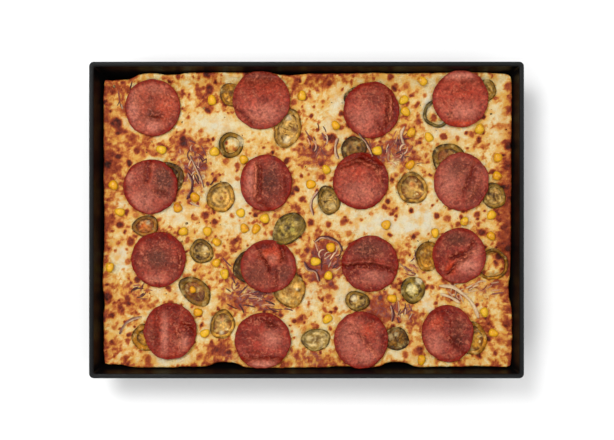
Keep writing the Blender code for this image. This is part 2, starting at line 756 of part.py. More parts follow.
def build_onion(number, collection, material, ground):
    """One onion strip: a tube that follows what it lies on."""
    half, places = ONIONS[number]
    half = half * MM
    name = f"onion_{number + 1:02d}"
    route = smooth_route(places)
    heights = []
    for x, y in route:
        spots = [(x + dx, y + dy) for dx in (-half, 0, half) for dy in (-half, 0, half)]
        heights.append(max(ground.height(*spot) or CHEESE_BASE for spot in spots))
    heights = np.array(heights) + half
    for _ in range(ONION_SMOOTHING):
        padded = np.pad(heights, 1, mode="edge")
        heights = np.maximum(heights, (padded[:-2] + padded[2:]) / 2)
    curve = bpy.data.curves.new(name, "CURVE")
    curve.dimensions = "3D"
    curve.bevel_depth = half
    curve.bevel_resolution = ONION_BEVEL_RESOLUTION
    curve.use_fill_caps = True
    spline = curve.splines.new("POLY")
    spline.points.add(len(route) - 1)
    for point, (x, y), z in zip(spline.points, route, heights):
        point.co = (x, y, z, 1)
    obj = bpy.data.objects.new(name, curve)
    collection.objects.link(obj)
    mesh = evaluated_mesh(obj, name)
    bpy.data.curves.remove(curve)
    settle(mesh, ground)
    shade_round(mesh, 70)
    return add_object(name, mesh, collection, material)


def build_cheese(collection, material, draw):
    """Cheese with its kernels fused on by one union."""
    slab = build_cheese_slab()
    ground = Ground()
    ground.add(slab)
    kernels = make_collection("kernels")
    build_kernels(kernels, ground, draw)
    obj = add_object("cheese_slab", slab, bpy.context.scene.collection)
    union = obj.modifiers.new("kernels", "BOOLEAN")
    union.operation = "UNION"
    union.operand_type = "COLLECTION"
    union.collection = kernels
    union.solver = "EXACT"
    mesh = evaluated_mesh(obj, "cheese")
    for kernel in list(kernels.objects):
        bpy.data.objects.remove(kernel, do_unlink=True)
    bpy.data.collections.remove(kernels)
    shade_round(mesh, 60)
    return add_object("cheese", mesh, collection, material)


def main():
    """Lay the pizza from the pan up."""
    clear_scene()
    draw = random.Random(SEED)
    parts = make_collection(OBJECT_NAME)
    black = make_material("pan_black", (0.02, 0.021, 0.024), 0.42, 0.6)
    bread = make_material("baked_crust", (0.45, 0.2, 0.06), 0.8)
    melted = make_material("melted_cheese", (0.85, 0.5, 0.16), 0.45)
    sausage = make_material("pepperoni_meat", (0.35, 0.07, 0.045), 0.45)
    pepper = make_material("pickled_pepper", (0.25, 0.2, 0.04), 0.4)
    onion = make_material("red_onion", (0.35, 0.16, 0.14), 0.4)

    build_pan(parts, black)
    build_crust(parts, bread)
    cheese = build_cheese(parts, melted, draw)

    ground = Ground()
    ground.add(cheese.data)
    for number in range(len(PEPPERS)):
        if number != PEPPER_ON_SAUSAGE:
            build_pepper(number, parts, pepper, ground, draw)
    for item in parts.objects:
        if item.name.startswith("jalapeno"):
            ground.add(item.data)
    build_pepperoni(parts, sausage, ground)
    last = build_pepper(PEPPER_ON_SAUSAGE, parts, pepper, ground, draw)
    ground.add(last.data)
    for number in range(len(ONIONS)):
        strip = build_onion(number, parts, onion, ground)
        ground.add(strip.data)


main()
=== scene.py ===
"""Looks of a deep dish pizza in its black rectangular pan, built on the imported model.

Every surface is worked out with numpy in millimetres, from the pan's centre and the surface
that it stands on, and turned into metres when it becomes a mesh. Toppings are laid in order
on one lattice of heights that covers the food, so that each lies on what is under it.
"""

import logging
import math
from dataclasses import dataclass, field
from enum import Enum
from typing import Any, Optional

import bpy
import numpy as np
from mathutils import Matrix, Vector


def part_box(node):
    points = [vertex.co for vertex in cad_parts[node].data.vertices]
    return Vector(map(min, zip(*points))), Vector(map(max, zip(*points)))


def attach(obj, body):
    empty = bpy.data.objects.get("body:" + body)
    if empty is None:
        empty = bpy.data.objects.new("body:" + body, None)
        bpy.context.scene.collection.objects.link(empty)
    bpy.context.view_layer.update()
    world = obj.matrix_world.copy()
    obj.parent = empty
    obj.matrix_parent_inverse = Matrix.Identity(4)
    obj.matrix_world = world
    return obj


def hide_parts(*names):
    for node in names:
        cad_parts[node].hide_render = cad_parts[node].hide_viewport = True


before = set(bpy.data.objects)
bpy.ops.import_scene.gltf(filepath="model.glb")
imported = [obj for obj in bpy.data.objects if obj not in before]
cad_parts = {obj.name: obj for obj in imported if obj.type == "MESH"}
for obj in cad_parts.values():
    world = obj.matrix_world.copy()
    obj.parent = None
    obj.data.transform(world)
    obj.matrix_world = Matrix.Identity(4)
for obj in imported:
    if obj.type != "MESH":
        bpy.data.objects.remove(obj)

LOG = logging.getLogger("pizza")
MM = 0.001
BODY = "root"
LIGHT_LEVEL = 1.4
Array = np.ndarray
Colour = tuple[float, float, float]
Material, Piece = bpy.types.Material, bpy.types.Object


# Sums that several classes use


def surface(colour: Colour) -> Array:
    """Turn a colour as it looks on the screen into that of the surface under the studio's light.

    Args:
        colour: red, green and blue of 0 to 255, or an array of them.

    Returns:
        The colours in linear light, divided by the light that falls on them.
    """
    share = np.clip(np.asarray(colour, dtype=float) / 255, 0, 1)
    light = np.where(share <= 0.04045, share / 12.92, ((share + 0.055) / 1.055) ** 2.4)
    return light / LIGHT_LEVEL


def ease(low: float, high: float, value: Array) -> Array:
    """Rise smoothly from 0 at low to 1 at high: 3t^2 - 2t^3 of the clamped share t."""
    t = np.clip((value - low) / (high - low), 0, 1)
    return t * t * (3 - 2 * t)


def blend(first: Array, second: Array, share: Array) -> Array:
    """Mix two colours or arrays of colours by a share for each point."""
    share = np.asarray(share)[..., None]
    return first * (1 - share) + second * share


def superpower(value: Array, power: float) -> Array:
    """Raise a signed value's size to a power and keep its sign."""
    return np.sign(value) * np.abs(value) ** power


def circle(count: int) -> Array:
    """Evenly spaced angles of a full turn."""
    return np.linspace(0, 2 * math.pi, count, endpoint=False)


def turned(x: Array, y: Array, angle: Array) -> tuple:
    """Coordinates of points in axes that are turned by an angle in radians."""
    cos, sin = np.cos(angle), np.sin(angle)
    return x * cos + y * sin, y * cos - x * sin


def sampled(values: Array, i: Array, j: Array) -> Array:
    """Value of a grid at fractional rows and columns, blended between the four round each.

    Args:
        values: the grid.
        i: rows.
        j: columns.

    Returns:
        The blended values.
    """
    i = np.clip(i, 0, values.shape[0] - 1.001)
    j = np.clip(j, 0, values.shape[1] - 1.001)
    a, b = i.astype(int), j.astype(int)
    s, t = i - a, j - b
    near = values[a, b] * (1 - t) + values[a, b + 1] * t
    far = values[a + 1, b] * (1 - t) + values[a + 1, b + 1] * t
    return near * (1 - s) + far * s


class Noise:
    """Smooth random values over a plane.

    Each corner of a unit lattice holds a random slope. A point's value is the blend of what the
    four slopes round it say, by a curve that is level at every corner.
    """

    SIZE = 256

    def __init__(self, seed: int) -> None:
        """Draw the slopes from a seed."""
        angle = np.random.default_rng(seed).uniform(0, 2 * math.pi, (self.SIZE, self.SIZE))
        self.slope_x = np.cos(angle)
        self.slope_y = np.sin(angle)

    def at(self, x: Array, y: Array, size: float) -> Array:
        """Value from about -1 to 1 at each point, for bumps of a size in the points' unit.

        Args:
            x: first coordinates.
            y: second coordinates.
            size: size of a bump.

        Returns:
            The values, in the shape of the coordinates.
        """
        px, py = np.asarray(x) / size, np.asarray(y) / size
        ix, iy = np.floor(px).astype(int), np.floor(py).astype(int)
        fx, fy = px - ix, py - iy
        sx, sy = fx ** 3 * (fx * (fx * 6 - 15) + 10), fy ** 3 * (fy * (fy * 6 - 15) + 10)
        total = 0.0
        for di in (0, 1):
            for dj in (0, 1):
                a, b = (ix + di) % self.SIZE, (iy + dj) % self.SIZE
                corner = self.slope_x[a, b] * (fx - di) + self.slope_y[a, b] * (fy - dj)
                weight = (sx if di else 1 - sx) * (sy if dj else 1 - sy)
                total = total + corner * weight
        return total * 1.5

    def layered(self, x: Array, y: Array, size: float, layers: int = 3,
                gain: float = 0.55) -> Array:
        """Sum of layers, each half the size and gain times the height of the one before.

        Args:
            x: first coordinates.
            y: second coordinates.
            size: size of the largest bumps.
            layers: how many layers.
            gain: height of each layer against the one before.

        Returns:
            The values, from about -1 to 1.
        """
        total, weight, whole = 0.0, 1.0, 0.0
        for layer in range(layers):
            shift = 37.0 * layer
            total = total + weight * self.at(x + shift, y - shift, size / 2 ** layer)
            whole += weight
            weight *= gain
        return total / whole * 1.25

    def ringed(self, angle: Array, radius: Array, shift: float, size: float,
               layers: int = 3) -> Array:
        """Layered value round circles of a radius, moved in X by a shift."""
        return self.layered(np.cos(angle) * radius + shift, np.sin(angle) * radius, size, layers)


# Meshes


class Slot(Enum):
    """Material slots of the record."""

    PAN = "pan_metal"
    CRUST = "baked_crust"
    CHEESE = "melted_cheese"
    SAUSAGE = "pepperoni"
    PEPPER = "pickled_pepper"
    ONION = "red_onion"


@dataclass
class Shell:
    """Points, faces and point values of one or more closed surfaces, in millimetres."""

    points: Array
    faces: list
    values: dict = field(default_factory=dict)

    def outward(self) -> "Shell":
        """The same shell with its faces turned outwards.

        The volume is the sum over the triangles of each face's fan of a . (b x c) / 6, and the
        faces are reversed where it is negative.
        """
        volume = 0.0
        for count in {len(face) for face in self.faces}:
            group = np.array([face for face in self.faces if len(face) == count])
            corner = self.points[group]
            for i in range(1, count - 1):
                cross = np.cross(corner[:, i], corner[:, i + 1])
                volume += np.einsum("ij,ij->", corner[:, 0], cross)
        if volume < 0:
            self.faces = [face[::-1] for face in self.faces]
        return self


def quads(rows: int, columns: int, ring: bool, start: int = 0) -> list:
    """Faces of a grid of points that are numbered row by row.

    Args:
        rows: how many rows of points.
        columns: how many points in a row.
        ring: whether each row closes on itself.
        start: number of the first point.

    Returns:
        One list of four point numbers for each face.
    """
    last = columns if ring else columns - 1
    row, column = np.meshgrid(np.arange(rows - 1), np.arange(last), indexing="ij")
    after = (column + 1) % columns
    corners = np.stack([row * columns + column, row * columns + after,
                        (row + 1) * columns + after, (row + 1) * columns + column], axis=-1)
    return (corners.reshape(-1, 4) + start).tolist()


def capped(grid: Array, values: Optional[dict] = None) -> Shell:
    """Close a tube of rings with one point at the middle of each end.

    Args:
        grid: points, as rings by points by three.
        values: arrays by name, of one value or colour for each point of the grid.

    Returns:
        A closed shell.
    """
    rings, count = grid.shape[:2]
    first, last = rings * count, rings * count + 1
    ends = np.stack([grid[0].mean(axis=0), grid[-1].mean(axis=0)])
    step = np.arange(count)
    after = (step + 1) % count
    fans = np.concatenate([
        np.stack([after, step, np.full(count, first)], axis=1),
        np.stack([step, after, np.full(count, last)], axis=1)
        + np.array([(rings - 1) * count, (rings - 1) * count, 0]),
    ])
    held = {}
    for name, value in (values or {}).items():
        flat = value.reshape(rings * count, *value.shape[2:])
        tips = np.stack([value[0].mean(axis=0), value[-1].mean(axis=0)])
        held[name] = np.concatenate([flat, tips])
    points = np.concatenate([grid.reshape(-1, 3), ends])
    return Shell(points, quads(rings, count, True) + fans.tolist(), held).outward()


def make_piece(name: str, shell: Shell, material: Material,
               replaces: tuple = (), sharp: Optional[float] = None) -> Piece:
    """Turn a shell into a piece of the scene that rides on the body.

    Args:
        name: the piece's name.
        shell: its surface in millimetres.
        material: its finish.
        replaces: CAD nodes that the piece stands for.
        sharp: angle in degrees past which an edge stays sharp.

    Returns:
        The new object, whose mesh is in metres.
    """
    mesh = bpy.data.meshes.new(name)
    mesh.from_pydata((shell.points * MM).tolist(), [], shell.faces)
    mesh.update()
    for key, value in shell.values.items():
        if value.ndim == 2:
            layer = mesh.attributes.new(key, "FLOAT_COLOR", "POINT")
            full = np.concatenate([value, np.ones((len(value), 1))], axis=1)
            layer.data.foreach_set("color", full.astype(np.float32).ravel())
        else:
            layer = mesh.attributes.new(key, "FLOAT", "POINT")
            layer.data.foreach_set("value", value.astype(np.float32))
    mesh.shade_smooth()
    if sharp is not None:
        mesh.set_sharp_from_angle(angle=math.radians(sharp))
    mesh.materials.append(material)
    piece = bpy.data.objects.new(name, mesh)
    bpy.context.scene.collection.objects.link(piece)
    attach(piece, BODY)
    if replaces:
        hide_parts(*replaces)
    LOG.info("%s: %d points, %d faces", name, len(shell.points), len(shell.faces))
    return piece


# Finishes


class Graph:
    """A material's nodes, with a short way to add each kind."""

    def __init__(self, name: str) -> None:
        """Start a material that holds only its shader."""
        self.material = bpy.data.materials.new(name)
        self.material.use_nodes = True
        self.tree = self.material.node_tree
        self.shader = self.tree.nodes["Principled BSDF"]
        self.place = self.tree.nodes.new("ShaderNodeTexCoord").outputs["Object"]

    def put(self, socket: Any, value: Any) -> None:
        """Link a socket to another node's output, or set it to a number or a colour."""
        if isinstance(value, bpy.types.NodeSocket):
            self.tree.links.new(value, socket)
        elif isinstance(value, (int, float)):
            socket.default_value = value
        else:
            socket.default_value = (*value, 1.0)

    def add(self, kind: str, output: Any, sockets: dict, **settings: Any) -> Any:
        """Add a node and fill its sockets.

        Args:
            kind: the node's type, without the words that every shader node's starts with.
            output: name or number of the output that is asked for.
            sockets: number, colour or link of each input, by its name or number.
            settings: the node's own properties.

        Returns:
            The output socket.
        """
        node = self.tree.nodes.new("ShaderNode" + kind)
        for name, value in settings.items():
            setattr(node, name, value)
        for socket, value in sockets.items():
            self.put(node.inputs[socket], value)
        return node.outputs[output]

    def noise(self, size: float, detail: float = 3.0, rough: float = 0.55,
              twist: float = 0.0) -> Any:
        """Noise whose features are a size in millimetres, swirled by a twist."""
        return self.add("TexNoise", "Fac", {
            "Vector": self.place, "Distortion": twist, "Scale": 1 / (size * MM),
            "Detail": detail, "Roughness": rough})

    def cells(self, size: float) -> Any:
        """Distance to the nearest of scattered points, whose cells are a size in millimetres."""
        return self.add("TexVoronoi", "Distance", {"Vector": self.place,
                                                   "Scale": 1 / (size * MM)})

    def held(self, name: str, output: str = "Fac") -> Any:
        """The number, or with the output Color the colour, that the mesh holds under a name."""
        return self.add("Attribute", output, {}, attribute_name=name)

    def sum(self, kind: str, first: Any, second: Any, clamp: bool = False) -> Any:
        """One step of arithmetic on two sockets or numbers."""
        return self.add("Math", 0, {0: first, 1: second}, operation=kind, use_clamp=clamp)

    def around(self, noise: Any, reach: float) -> Any:
        """Noise centred on 0 that swings by a reach."""
        return self.sum("MULTIPLY", self.sum("SUBTRACT", noise, 0.5), 2 * reach)

    def range(self, value: Any, low: float, high: float, start: float = 0.0,
              end: float = 1.0) -> Any:
        """Carry a value from low..high to start..end and hold it there.

        Args:
            value: what is carried over.
            low: its lower end.
            high: its upper end.
            start: result at the lower end.
            end: result at the upper end.

        Returns:
            The output socket of the node.
        """
        return self.add("MapRange", "Result", {"Value": value, "From Min": low, "From Max": high,
                                               "To Min": start, "To Max": end})

    def ramp(self, value: Any, stops: tuple) -> Any:
        """Colour read from stops, given as (position, screen colour)."""
        node = self.tree.nodes.new("ShaderNodeValToRGB")
        band = node.color_ramp
        while len(band.elements) < len(stops):
            band.elements.new(1.0)
        for element, (position, colour) in zip(band.elements, stops):
            element.position = position
            element.color = (*surface(colour), 1.0)
        self.put(node.inputs["Fac"], value)
        return node.outputs["Color"]

    def mix(self, share: Any, first: Any, second: Any) -> Any:
        """Mix two colours by a share."""
        return self.add("Mix", 2, {0: share, 6: first, 7: second}, data_type="RGBA")

    def stained(self, colour: Any, share: Any, stain: Colour) -> Any:
        """Mix a screen colour over a colour by a share."""
        return self.mix(share, colour, surface(stain))

    def lightened(self, colour: Any, value: Any) -> Any:
        """Multiply a colour's brightness by a value."""
        return self.add("HueSaturation", "Color", {"Value": value, "Color": colour})

    def bump(self, height: Any, depth: float) -> None:
        """Roughen the surface by a height pattern, of a depth in millimetres."""
        normal = self.add("Bump", "Normal", {"Distance": depth * MM, "Height": height})
        self.put(self.shader.inputs["Normal"], normal)

    def soften(self, shine: float, glow: float, reach: tuple) -> None:
        """Set how much the surface shines, how much light sinks in and how far by colour."""
        for name, value in (("Specular IOR Level", shine), ("Subsurface Weight", glow),
                            ("Subsurface Radius", reach), ("Subsurface Scale", 1.0)):
            self.shader.inputs[name].default_value = value

    def finish(self, colour: Any, rough: Any) -> Material:
        """Give the shader its colour and roughness and hand the material over."""
        self.put(self.shader.inputs["Base Color"], colour)
        self.put(self.shader.inputs["Roughness"], rough)
        return self.material


@dataclass(frozen=True)
class CheeseFinish:
    """Melted cheese: cream where soft, through orange to char where it blistered."""

    stops: tuple = (
        (0.0, (253, 232, 176)),
        (0.15, (250, 208, 126)),
        (0.3, (240, 170, 78)),
        (0.45, (214, 124, 52)),
        (0.6, (178, 78, 34)),
        (0.74, (138, 48, 22)),
        (0.87, (92, 32, 14)),
        (1.0, (42, 16, 8)),
    )
    milk: Colour = (244, 232, 200)
    sauce: Colour = (164, 64, 38)
    lilac: Colour = (146, 100, 104)
    oil: Colour = (244, 176, 60)

    def build(self) -> Material:
        """Make the material from the bake, milk and sauce values of the mesh."""
        graph = Graph("melted_cheese_looks")
        coarse = graph.noise(2.6, 3.0, 0.6, twist=1.0)
        fine = graph.noise(1.1, 3.0)
        factor = graph.sum("ADD", graph.held("bake"), graph.around(coarse, 0.2))
        factor = graph.sum("ADD", factor, graph.around(fine, 0.12), clamp=True)
        colour = graph.ramp(factor, self.stops)
        sauce = graph.sum("MULTIPLY", graph.held("sauce"), graph.range(coarse, 0.3, 0.65))
        tone = graph.range(graph.noise(3.6, 3.0), 0.46, 0.58)
        colour = graph.mix(sauce, colour, graph.stained(surface(self.sauce), tone, self.lilac))
        milk = graph.sum("MULTIPLY", graph.held("milk"), graph.range(factor, 0.35, 0.1))
        colour = graph.stained(colour, milk, self.milk)
        oil = graph.sum("MULTIPLY", graph.range(graph.noise(8.0, 3.0), 0.46, 0.66, 0.0, 0.75),
                        graph.range(factor, 0.5, 0.2))
        colour = graph.stained(colour, oil, self.oil)
        rough = graph.range(graph.sum("ADD", factor, graph.around(coarse, 0.2)),
                            0.0, 1.0, 0.2, 0.5)
        graph.bump(graph.sum("ADD", coarse, fine), 0.8)
        graph.soften(0.16, 0.12, (0.004, 0.002, 0.001))
        return graph.finish(colour, rough)


@dataclass(frozen=True)
class SausageFinish:
    """Cured sausage: the slice's own tint, mottled meat, specks of fat, painted highlights along
    folds and an oily skin.
    """

    fat: Colour = (218, 122, 88)
    dark: Colour = (104, 20, 8)
    rim: Colour = (136, 24, 6)

    def build(self) -> Material:
        """Make the material from the tint and rim of the mesh, and its values of fat specks and
        painted highlight.
        """
        graph = Graph("pepperoni_looks")
        mottle = graph.noise(6.0, 4.0, 0.65, twist=0.8)
        grain = graph.noise(2.0, 3.0, 0.6)
        streaks = graph.noise(3.6, 3.0, 0.6, twist=1.0)
        colour = graph.held("tint", "Color")
        colour = graph.stained(colour, graph.range(mottle, 0.5, 0.66, 0.0, 0.6), self.dark)
        colour = graph.stained(colour, graph.range(streaks, 0.52, 0.66, 0.0, 0.5), self.fat)
        # Random specks of fat, plus the mesh's values along folds, which are partly painted
        # highlights.
        flecks = graph.sum("ADD", graph.range(graph.cells(2.4), 0.26, 0.1, 0.0, 0.2),
                           graph.held("fleck"), clamp=True)
        flecks = graph.sum("MULTIPLY", flecks, graph.range(grain, 0.42, 0.6, 0.0, 0.9))
        colour = graph.stained(colour, flecks, self.fat)
        colour = graph.stained(colour, graph.held("rim"), self.rim)
        colour = graph.lightened(colour, graph.range(grain, 0.3, 0.7, 0.6, 1.42))
        graph.bump(graph.sum("ADD", mottle, grain), 0.7)
        graph.soften(0.09, 0.06, (0.003, 0.001, 0.0008))
        return graph.finish(colour, graph.range(mottle, 0.3, 0.7, 0.16, 0.36))


@dataclass(frozen=True)
class TintedFinish:
    """A wet, tinted topping: its mesh holds the colour, and noise varies it."""

    name: str
    rough: tuple = (0.22, 0.42)
    grain: float = 0.9
    swing: tuple = (0.78, 1.2)
    depth: float = 0.25
    coat: float = 0.0
    glow: float = 0.0
    glow_reach: tuple = (0.003, 0.002, 0.001)

    def build(self) -> Material:
        """Make the material from the tint of the mesh."""
        graph = Graph(self.name)
        grain = graph.noise(self.grain, 4.0, 0.6)
        broad = graph.noise(self.grain * 4, 3.0, 0.55)
        swing = graph.range(graph.sum("ADD", grain, broad), 0.7, 1.3, *self.swing)
        graph.bump(graph.sum("ADD", grain, broad), self.depth)
        graph.soften(0.16, self.glow, self.glow_reach)
        graph.shader.inputs["Coat Weight"].default_value = self.coat
        graph.shader.inputs["Coat Roughness"].default_value = 0.12
        return graph.finish(graph.lightened(graph.held("tint", "Color"), swing),
                            graph.range(broad, 0.3, 0.7, *self.rough))


@dataclass(frozen=True)
class PepperFinish:
    """Pickled pepper: the slice's own tint, stained brown and bleached in patches, and wet."""

    stain: Colour = (74, 38, 4)
    bleach: Colour = (238, 202, 122)

    def build(self) -> Material:
        """Make the material from the tint of the mesh."""
        graph = Graph("pickled_pepper_looks")
        broad = graph.noise(7.0, 3.0, 0.55, twist=1.0)
        fine = graph.noise(2.2, 3.0, 0.55)
        pale = graph.range(graph.noise(6.5, 2.0), 0.56, 0.72, 0.0, 0.5)
        colour = graph.held("tint", "Color")
        colour = graph.stained(colour, graph.range(broad, 0.5, 0.7, 0.0, 0.55), self.stain)
        colour = graph.stained(colour, pale, self.bleach)
        colour = graph.lightened(colour, graph.range(fine, 0.3, 0.7, 0.74, 1.34))
        graph.bump(graph.sum("ADD", broad, fine), 1.0)
        graph.soften(0.12, 0.05, (0.003, 0.002, 0.001))
        return graph.finish(colour, graph.range(broad, 0.3, 0.7, 0.12, 0.3))


@dataclass(frozen=True)
class CrustFinish:
    """Baked dough that fried against the pan: golden brown with dark blisters."""

    stops: tuple = (
        (0.2, (206, 132, 66)),
        (0.42, (168, 92, 44)),
        (0.6, (122, 60, 32)),
        (0.8, (66, 34, 24)),
    )

    def build(self) -> Material:
        """Make the material from noise of two sizes."""
        graph = Graph("baked_crust_looks")
        broad = graph.noise(9.0, 5.0, 0.6)
        fine = graph.noise(1.4, 4.0, 0.6)
        factor = graph.sum("ADD", broad, graph.around(fine, 0.14), clamp=True)
        graph.bump(graph.sum("ADD", fine, broad), 0.6)
        return graph.finish(graph.ramp(factor, self.stops), graph.range(fine, 0.3, 0.7, 0.55, 0.8))


@dataclass(frozen=True)
class PanFinish:
    """Black baking enamel: dark and slightly glossy, with baked oil and a pale rim line, partly
    rubbed and partly painted highlight.
    """

    base: Colour = (9, 7, 6)
    oil: Colour = (30, 15, 6)
    worn: Colour = (88, 95, 98)

    def build(self) -> Material:
        """Make the material from the mesh's stain values and its values of rubbing and painted
        highlight.
        """
        graph = Graph("pan_black_looks")
        broad = graph.noise(16.0, 4.0, 0.6)
        fine = graph.noise(0.7, 3.0, 0.6)
        stain = graph.sum("MULTIPLY", graph.held("stain"), graph.range(broad, 0.5, 0.72))
        colour = graph.stained(surface(self.base), stain, self.oil)
        # Painted highlight and rubbing: a pale blue-grey line on the rim's outer edge.
        wear = graph.sum("MULTIPLY", graph.held("wear"), graph.range(fine, 0.35, 0.65, 0.2, 1.0))
        colour = graph.stained(colour, wear, self.worn)
        rough = graph.range(graph.sum("ADD", broad, graph.around(fine, 0.3)), 0.3, 0.75, 0.3, 0.52)
        graph.bump(fine, 0.06)
        graph.shader.inputs["Specular IOR Level"].default_value = 0.1
        return graph.finish(colour, rough)


# The pan and the food's edge


class Side(Enum):
    """Sides of the pan, seen from above with the long side across."""

    LEFT = 0
    RIGHT = 1
    FRONT = 2
    BACK = 3


@dataclass
class Pan:
    """Pressed pan with drafted walls, a round heel and a rolled rim."""

    half_length: float = 184.85
    half_width: float = 134.6
    height: float = 57.0
    sheet: float = 1.6
    band: float = 4.15
    drop: float = 4.6
    rounding: float = 0.6
    draft: float = math.tan(math.radians(13))
    corner: float = 2.0
    heel: float = 4.0
    corner_steps: int = 10
    worn_rows: tuple = (19, 23, 26)
    inner_row: int = 32

    def inset(self, z: Array) -> Array:
        """Distance from the rim's outer edge in to the wall's inner face at a height."""
        return self.band + (self.height - self.rounding - z) * self.draft

    def room(self, z: Array) -> tuple:
        """Half length and half width inside the wall at a height."""
        return self.half_length - self.inset(z), self.half_width - self.inset(z)

    def section(self) -> Array:
        """Section from underside over the rim to the floor, as rows of (inset, radius, z)."""
        skin = self.sheet * math.hypot(1, self.draft)
        under = self.height - self.drop
        outer = self.corner + self.sheet
        foot, lip = self.heel, self.rounding
        low = outer + foot / 2
        curve = [(math.sin(a), math.cos(a)) for a in np.linspace(0, math.pi / 2, 6)]
        bottom = [(float(self.inset(0)) - skin + foot * (1 - sin), low, foot * (1 - cos))
                  for sin, cos in curve]
        wall = [(float(self.inset(z)) - skin, outer + foot / 2 * (1 - z / under), z)
                for z in np.linspace(foot + 3, under, 8)]
        roll = [(lip * (1 - sin), outer + lip * sin, under + lip * (1 - cos))
                for sin, cos in curve]
        crown = [(lip * 2 * (1 - cos), outer + lip * (1 - sin), self.height + lip * 2 * (sin - 1))
                 for sin, cos in curve]
        inner = [(self.band - lip * cos, self.corner, self.height - lip * (1 - sin))
                 for sin, cos in curve]
        side = [(float(self.inset(z)), self.corner, z)
                for z in np.linspace(self.height - lip - 2, foot + self.sheet, 10)]
        floor = [(float(self.inset(self.sheet + foot * (1 - sin))) + foot * (1 - cos),
                  self.corner, self.sheet + foot * (1 - sin)) for sin, cos in curve[1:]]
        return np.array(bottom + wall + roll + crown + inner + side + floor)

    def build(self, material: Material) -> Piece:
        """Loft the section round the pan's rounded rectangle.

        Each ring is four quarter circles, joined by straight runs: centre of the corner plus the
        ring's radius times (cos a, sin a). The rim's outer edge is palest from the first of the
        marked rim rows, a line that is partly rubbed enamel and partly painted highlight, and the
        inside, from the inner row on, is stained by oil.
        """
        rows = self.section()
        angle = (np.arange(4)[:, None] + np.linspace(0, 1, self.corner_steps + 1)) * math.pi / 2
        sign_x = np.array([1, -1, -1, 1])[:, None]
        sign_y = np.array([1, 1, -1, -1])[:, None]
        inset, radius, z = (rows[:, i, None, None] for i in range(3))
        x = sign_x * (self.half_length - inset - radius) + radius * np.cos(angle)
        y = sign_y * (self.half_width - inset - radius) + radius * np.sin(angle)
        grid = np.stack([x, y, np.broadcast_to(z, x.shape)], axis=-1).reshape(len(rows), -1, 3)
        order = np.broadcast_to(np.arange(len(rows))[:, None], grid.shape[:2])
        # Pale rim line: partly rubbed enamel, partly a painted highlight of light on the rolled
        # edge.
        wear = np.array((0.02, 0.8, 0.2, 0.02))[np.searchsorted(self.worn_rows, order, "right")]
        stain = np.where(order >= self.inner_row, ease(52, 20, grid[..., 2]), 0.15)
        shell = capped(grid, {"stain": stain, "wear": wear})
        return make_piece("pan_shell", shell, material, ("pan",), sharp=50)


LEFT, RIGHT, FRONT, BACK = Side


@dataclass
class FoodEdge:
    """The wavy edge of the food inside the drafted wall.

    A bite is a place where the edge lies further from the wall: (side, middle, half length,
    depth), in millimetres.
    """

    pan: Pan
    gaps: tuple = (1.0, 0.3, 0.3, 0.3)
    climbs: tuple = (4.6, 7.0, 8.8, 7.8)
    wander: float = 0.28
    waves: tuple = ((31.0, 0.0), (17.0, 1.9), (11.0, 4.1))
    side_phase: float = 2.3
    bite_scale: float = 6.0
    bite_floor: float = 0.3
    reach: float = 8.0
    pull: float = 2.4
    pull_sharpness: float = 26.0
    cheese_top: float = 38.0
    bites: tuple = (
        (BACK, -164, 17, 3.8), (BACK, -118, 9, 0.9), (BACK, -14, 12, 1.0),
        (FRONT, -168, 14, 1.5), (FRONT, -70, 13, 2.6), (FRONT, 30, 13, 0.6),
        (FRONT, 78, 13, 2.8), (FRONT, 154, 15, 0.6), (LEFT, -10, 18, 0.5),
        (LEFT, -70, 10, 1.0), (RIGHT, 58, 14, 0.4), (RIGHT, -60, 12, 1.0),
    )

    def gap(self, side: Side, along: Array) -> Array:
        """Gap from food to wall: the side's least gap, three slow waves, and its bites.

        Args:
            side: the side.
            along: places along it, in millimetres.

        Returns:
            The gap at each place, in millimetres.
        """
        total = self.gaps[side.value]
        for order, (length, phase) in enumerate(self.waves):
            shift = phase + self.side_phase * side.value
            total = total + self.wander / (order + 1) * (1 + np.sin(along / length + shift))
        for bitten, middle, half, depth in self.bites:
            if bitten is side:
                total = total + depth * np.exp(-((along - middle) / half) ** 4)
        return total

    def sides(self, x: Array, y: Array, z: Array) -> tuple:
        """Left, right, front and back limits of the food at a height."""
        half_x, half_y = self.pan.room(z)
        return (-half_x + self.gap(LEFT, y), half_x - self.gap(RIGHT, y),
                -half_y + self.gap(FRONT, x), half_y - self.gap(BACK, x))

    def place(self, u: Array, v: Array, z: Array) -> tuple:
        """Place of grid point (u, v), each -1 to 1, at a height.

        Args:
            u: grid coordinate along X.
            v: grid coordinate along Y.
            z: heights in millimetres.

        Returns:
            X and Y in millimetres.
        """
        half_x, half_y = self.pan.room(z)
        left, right, front, back = self.sides(u * half_x, v * half_y, z)
        pull = self.pull * np.abs(u * v) ** self.pull_sharpness
        x = left + (right - left) * (u + 1) / 2 - np.sign(u) * pull
        y = front + (back - front) * (v + 1) / 2 - np.sign(v) * pull
        return x, y

    def share(self, x: Array, y: Array) -> tuple:
        """Grid point (u, v) of a place at the height of the cheese."""
        left, right, front, back = self.sides(x, y, self.cheese_top)
        return 2 * (x - left) / (right - left) - 1, 2 * (y - front) / (back - front) - 1

    def distances(self, u: Array, v: Array) -> tuple:
        """Distance in from each side, in the order of Side."""
        return ((1 + u) * self.pan.half_length, (1 - u) * self.pan.half_length,
                (1 + v) * self.pan.half_width, (1 - v) * self.pan.half_width)

    def climb(self, x: Array, y: Array, u: Array, v: Array) -> Array:
        """How high the baked edge stands, which fades inwards and is less in a bite.

        Args:
            x: places in X, in millimetres.
            y: places in Y, in millimetres.
            u: grid coordinate along X.
            v: grid coordinate along Y.

        Returns:
            Height over the cheese in millimetres.
        """
        best = np.zeros_like(x)
        for side, distance in zip(Side, self.distances(u, v)):
            along = y if side in (LEFT, RIGHT) else x
            bitten = (self.gap(side, along) - self.gaps[side.value]) / self.bite_scale
            height = self.climbs[side.value] * np.maximum(1 - bitten, self.bite_floor)
            best = np.maximum(best, height * np.exp(-(distance / self.reach) ** 2))
        return best


# The lattice of heights


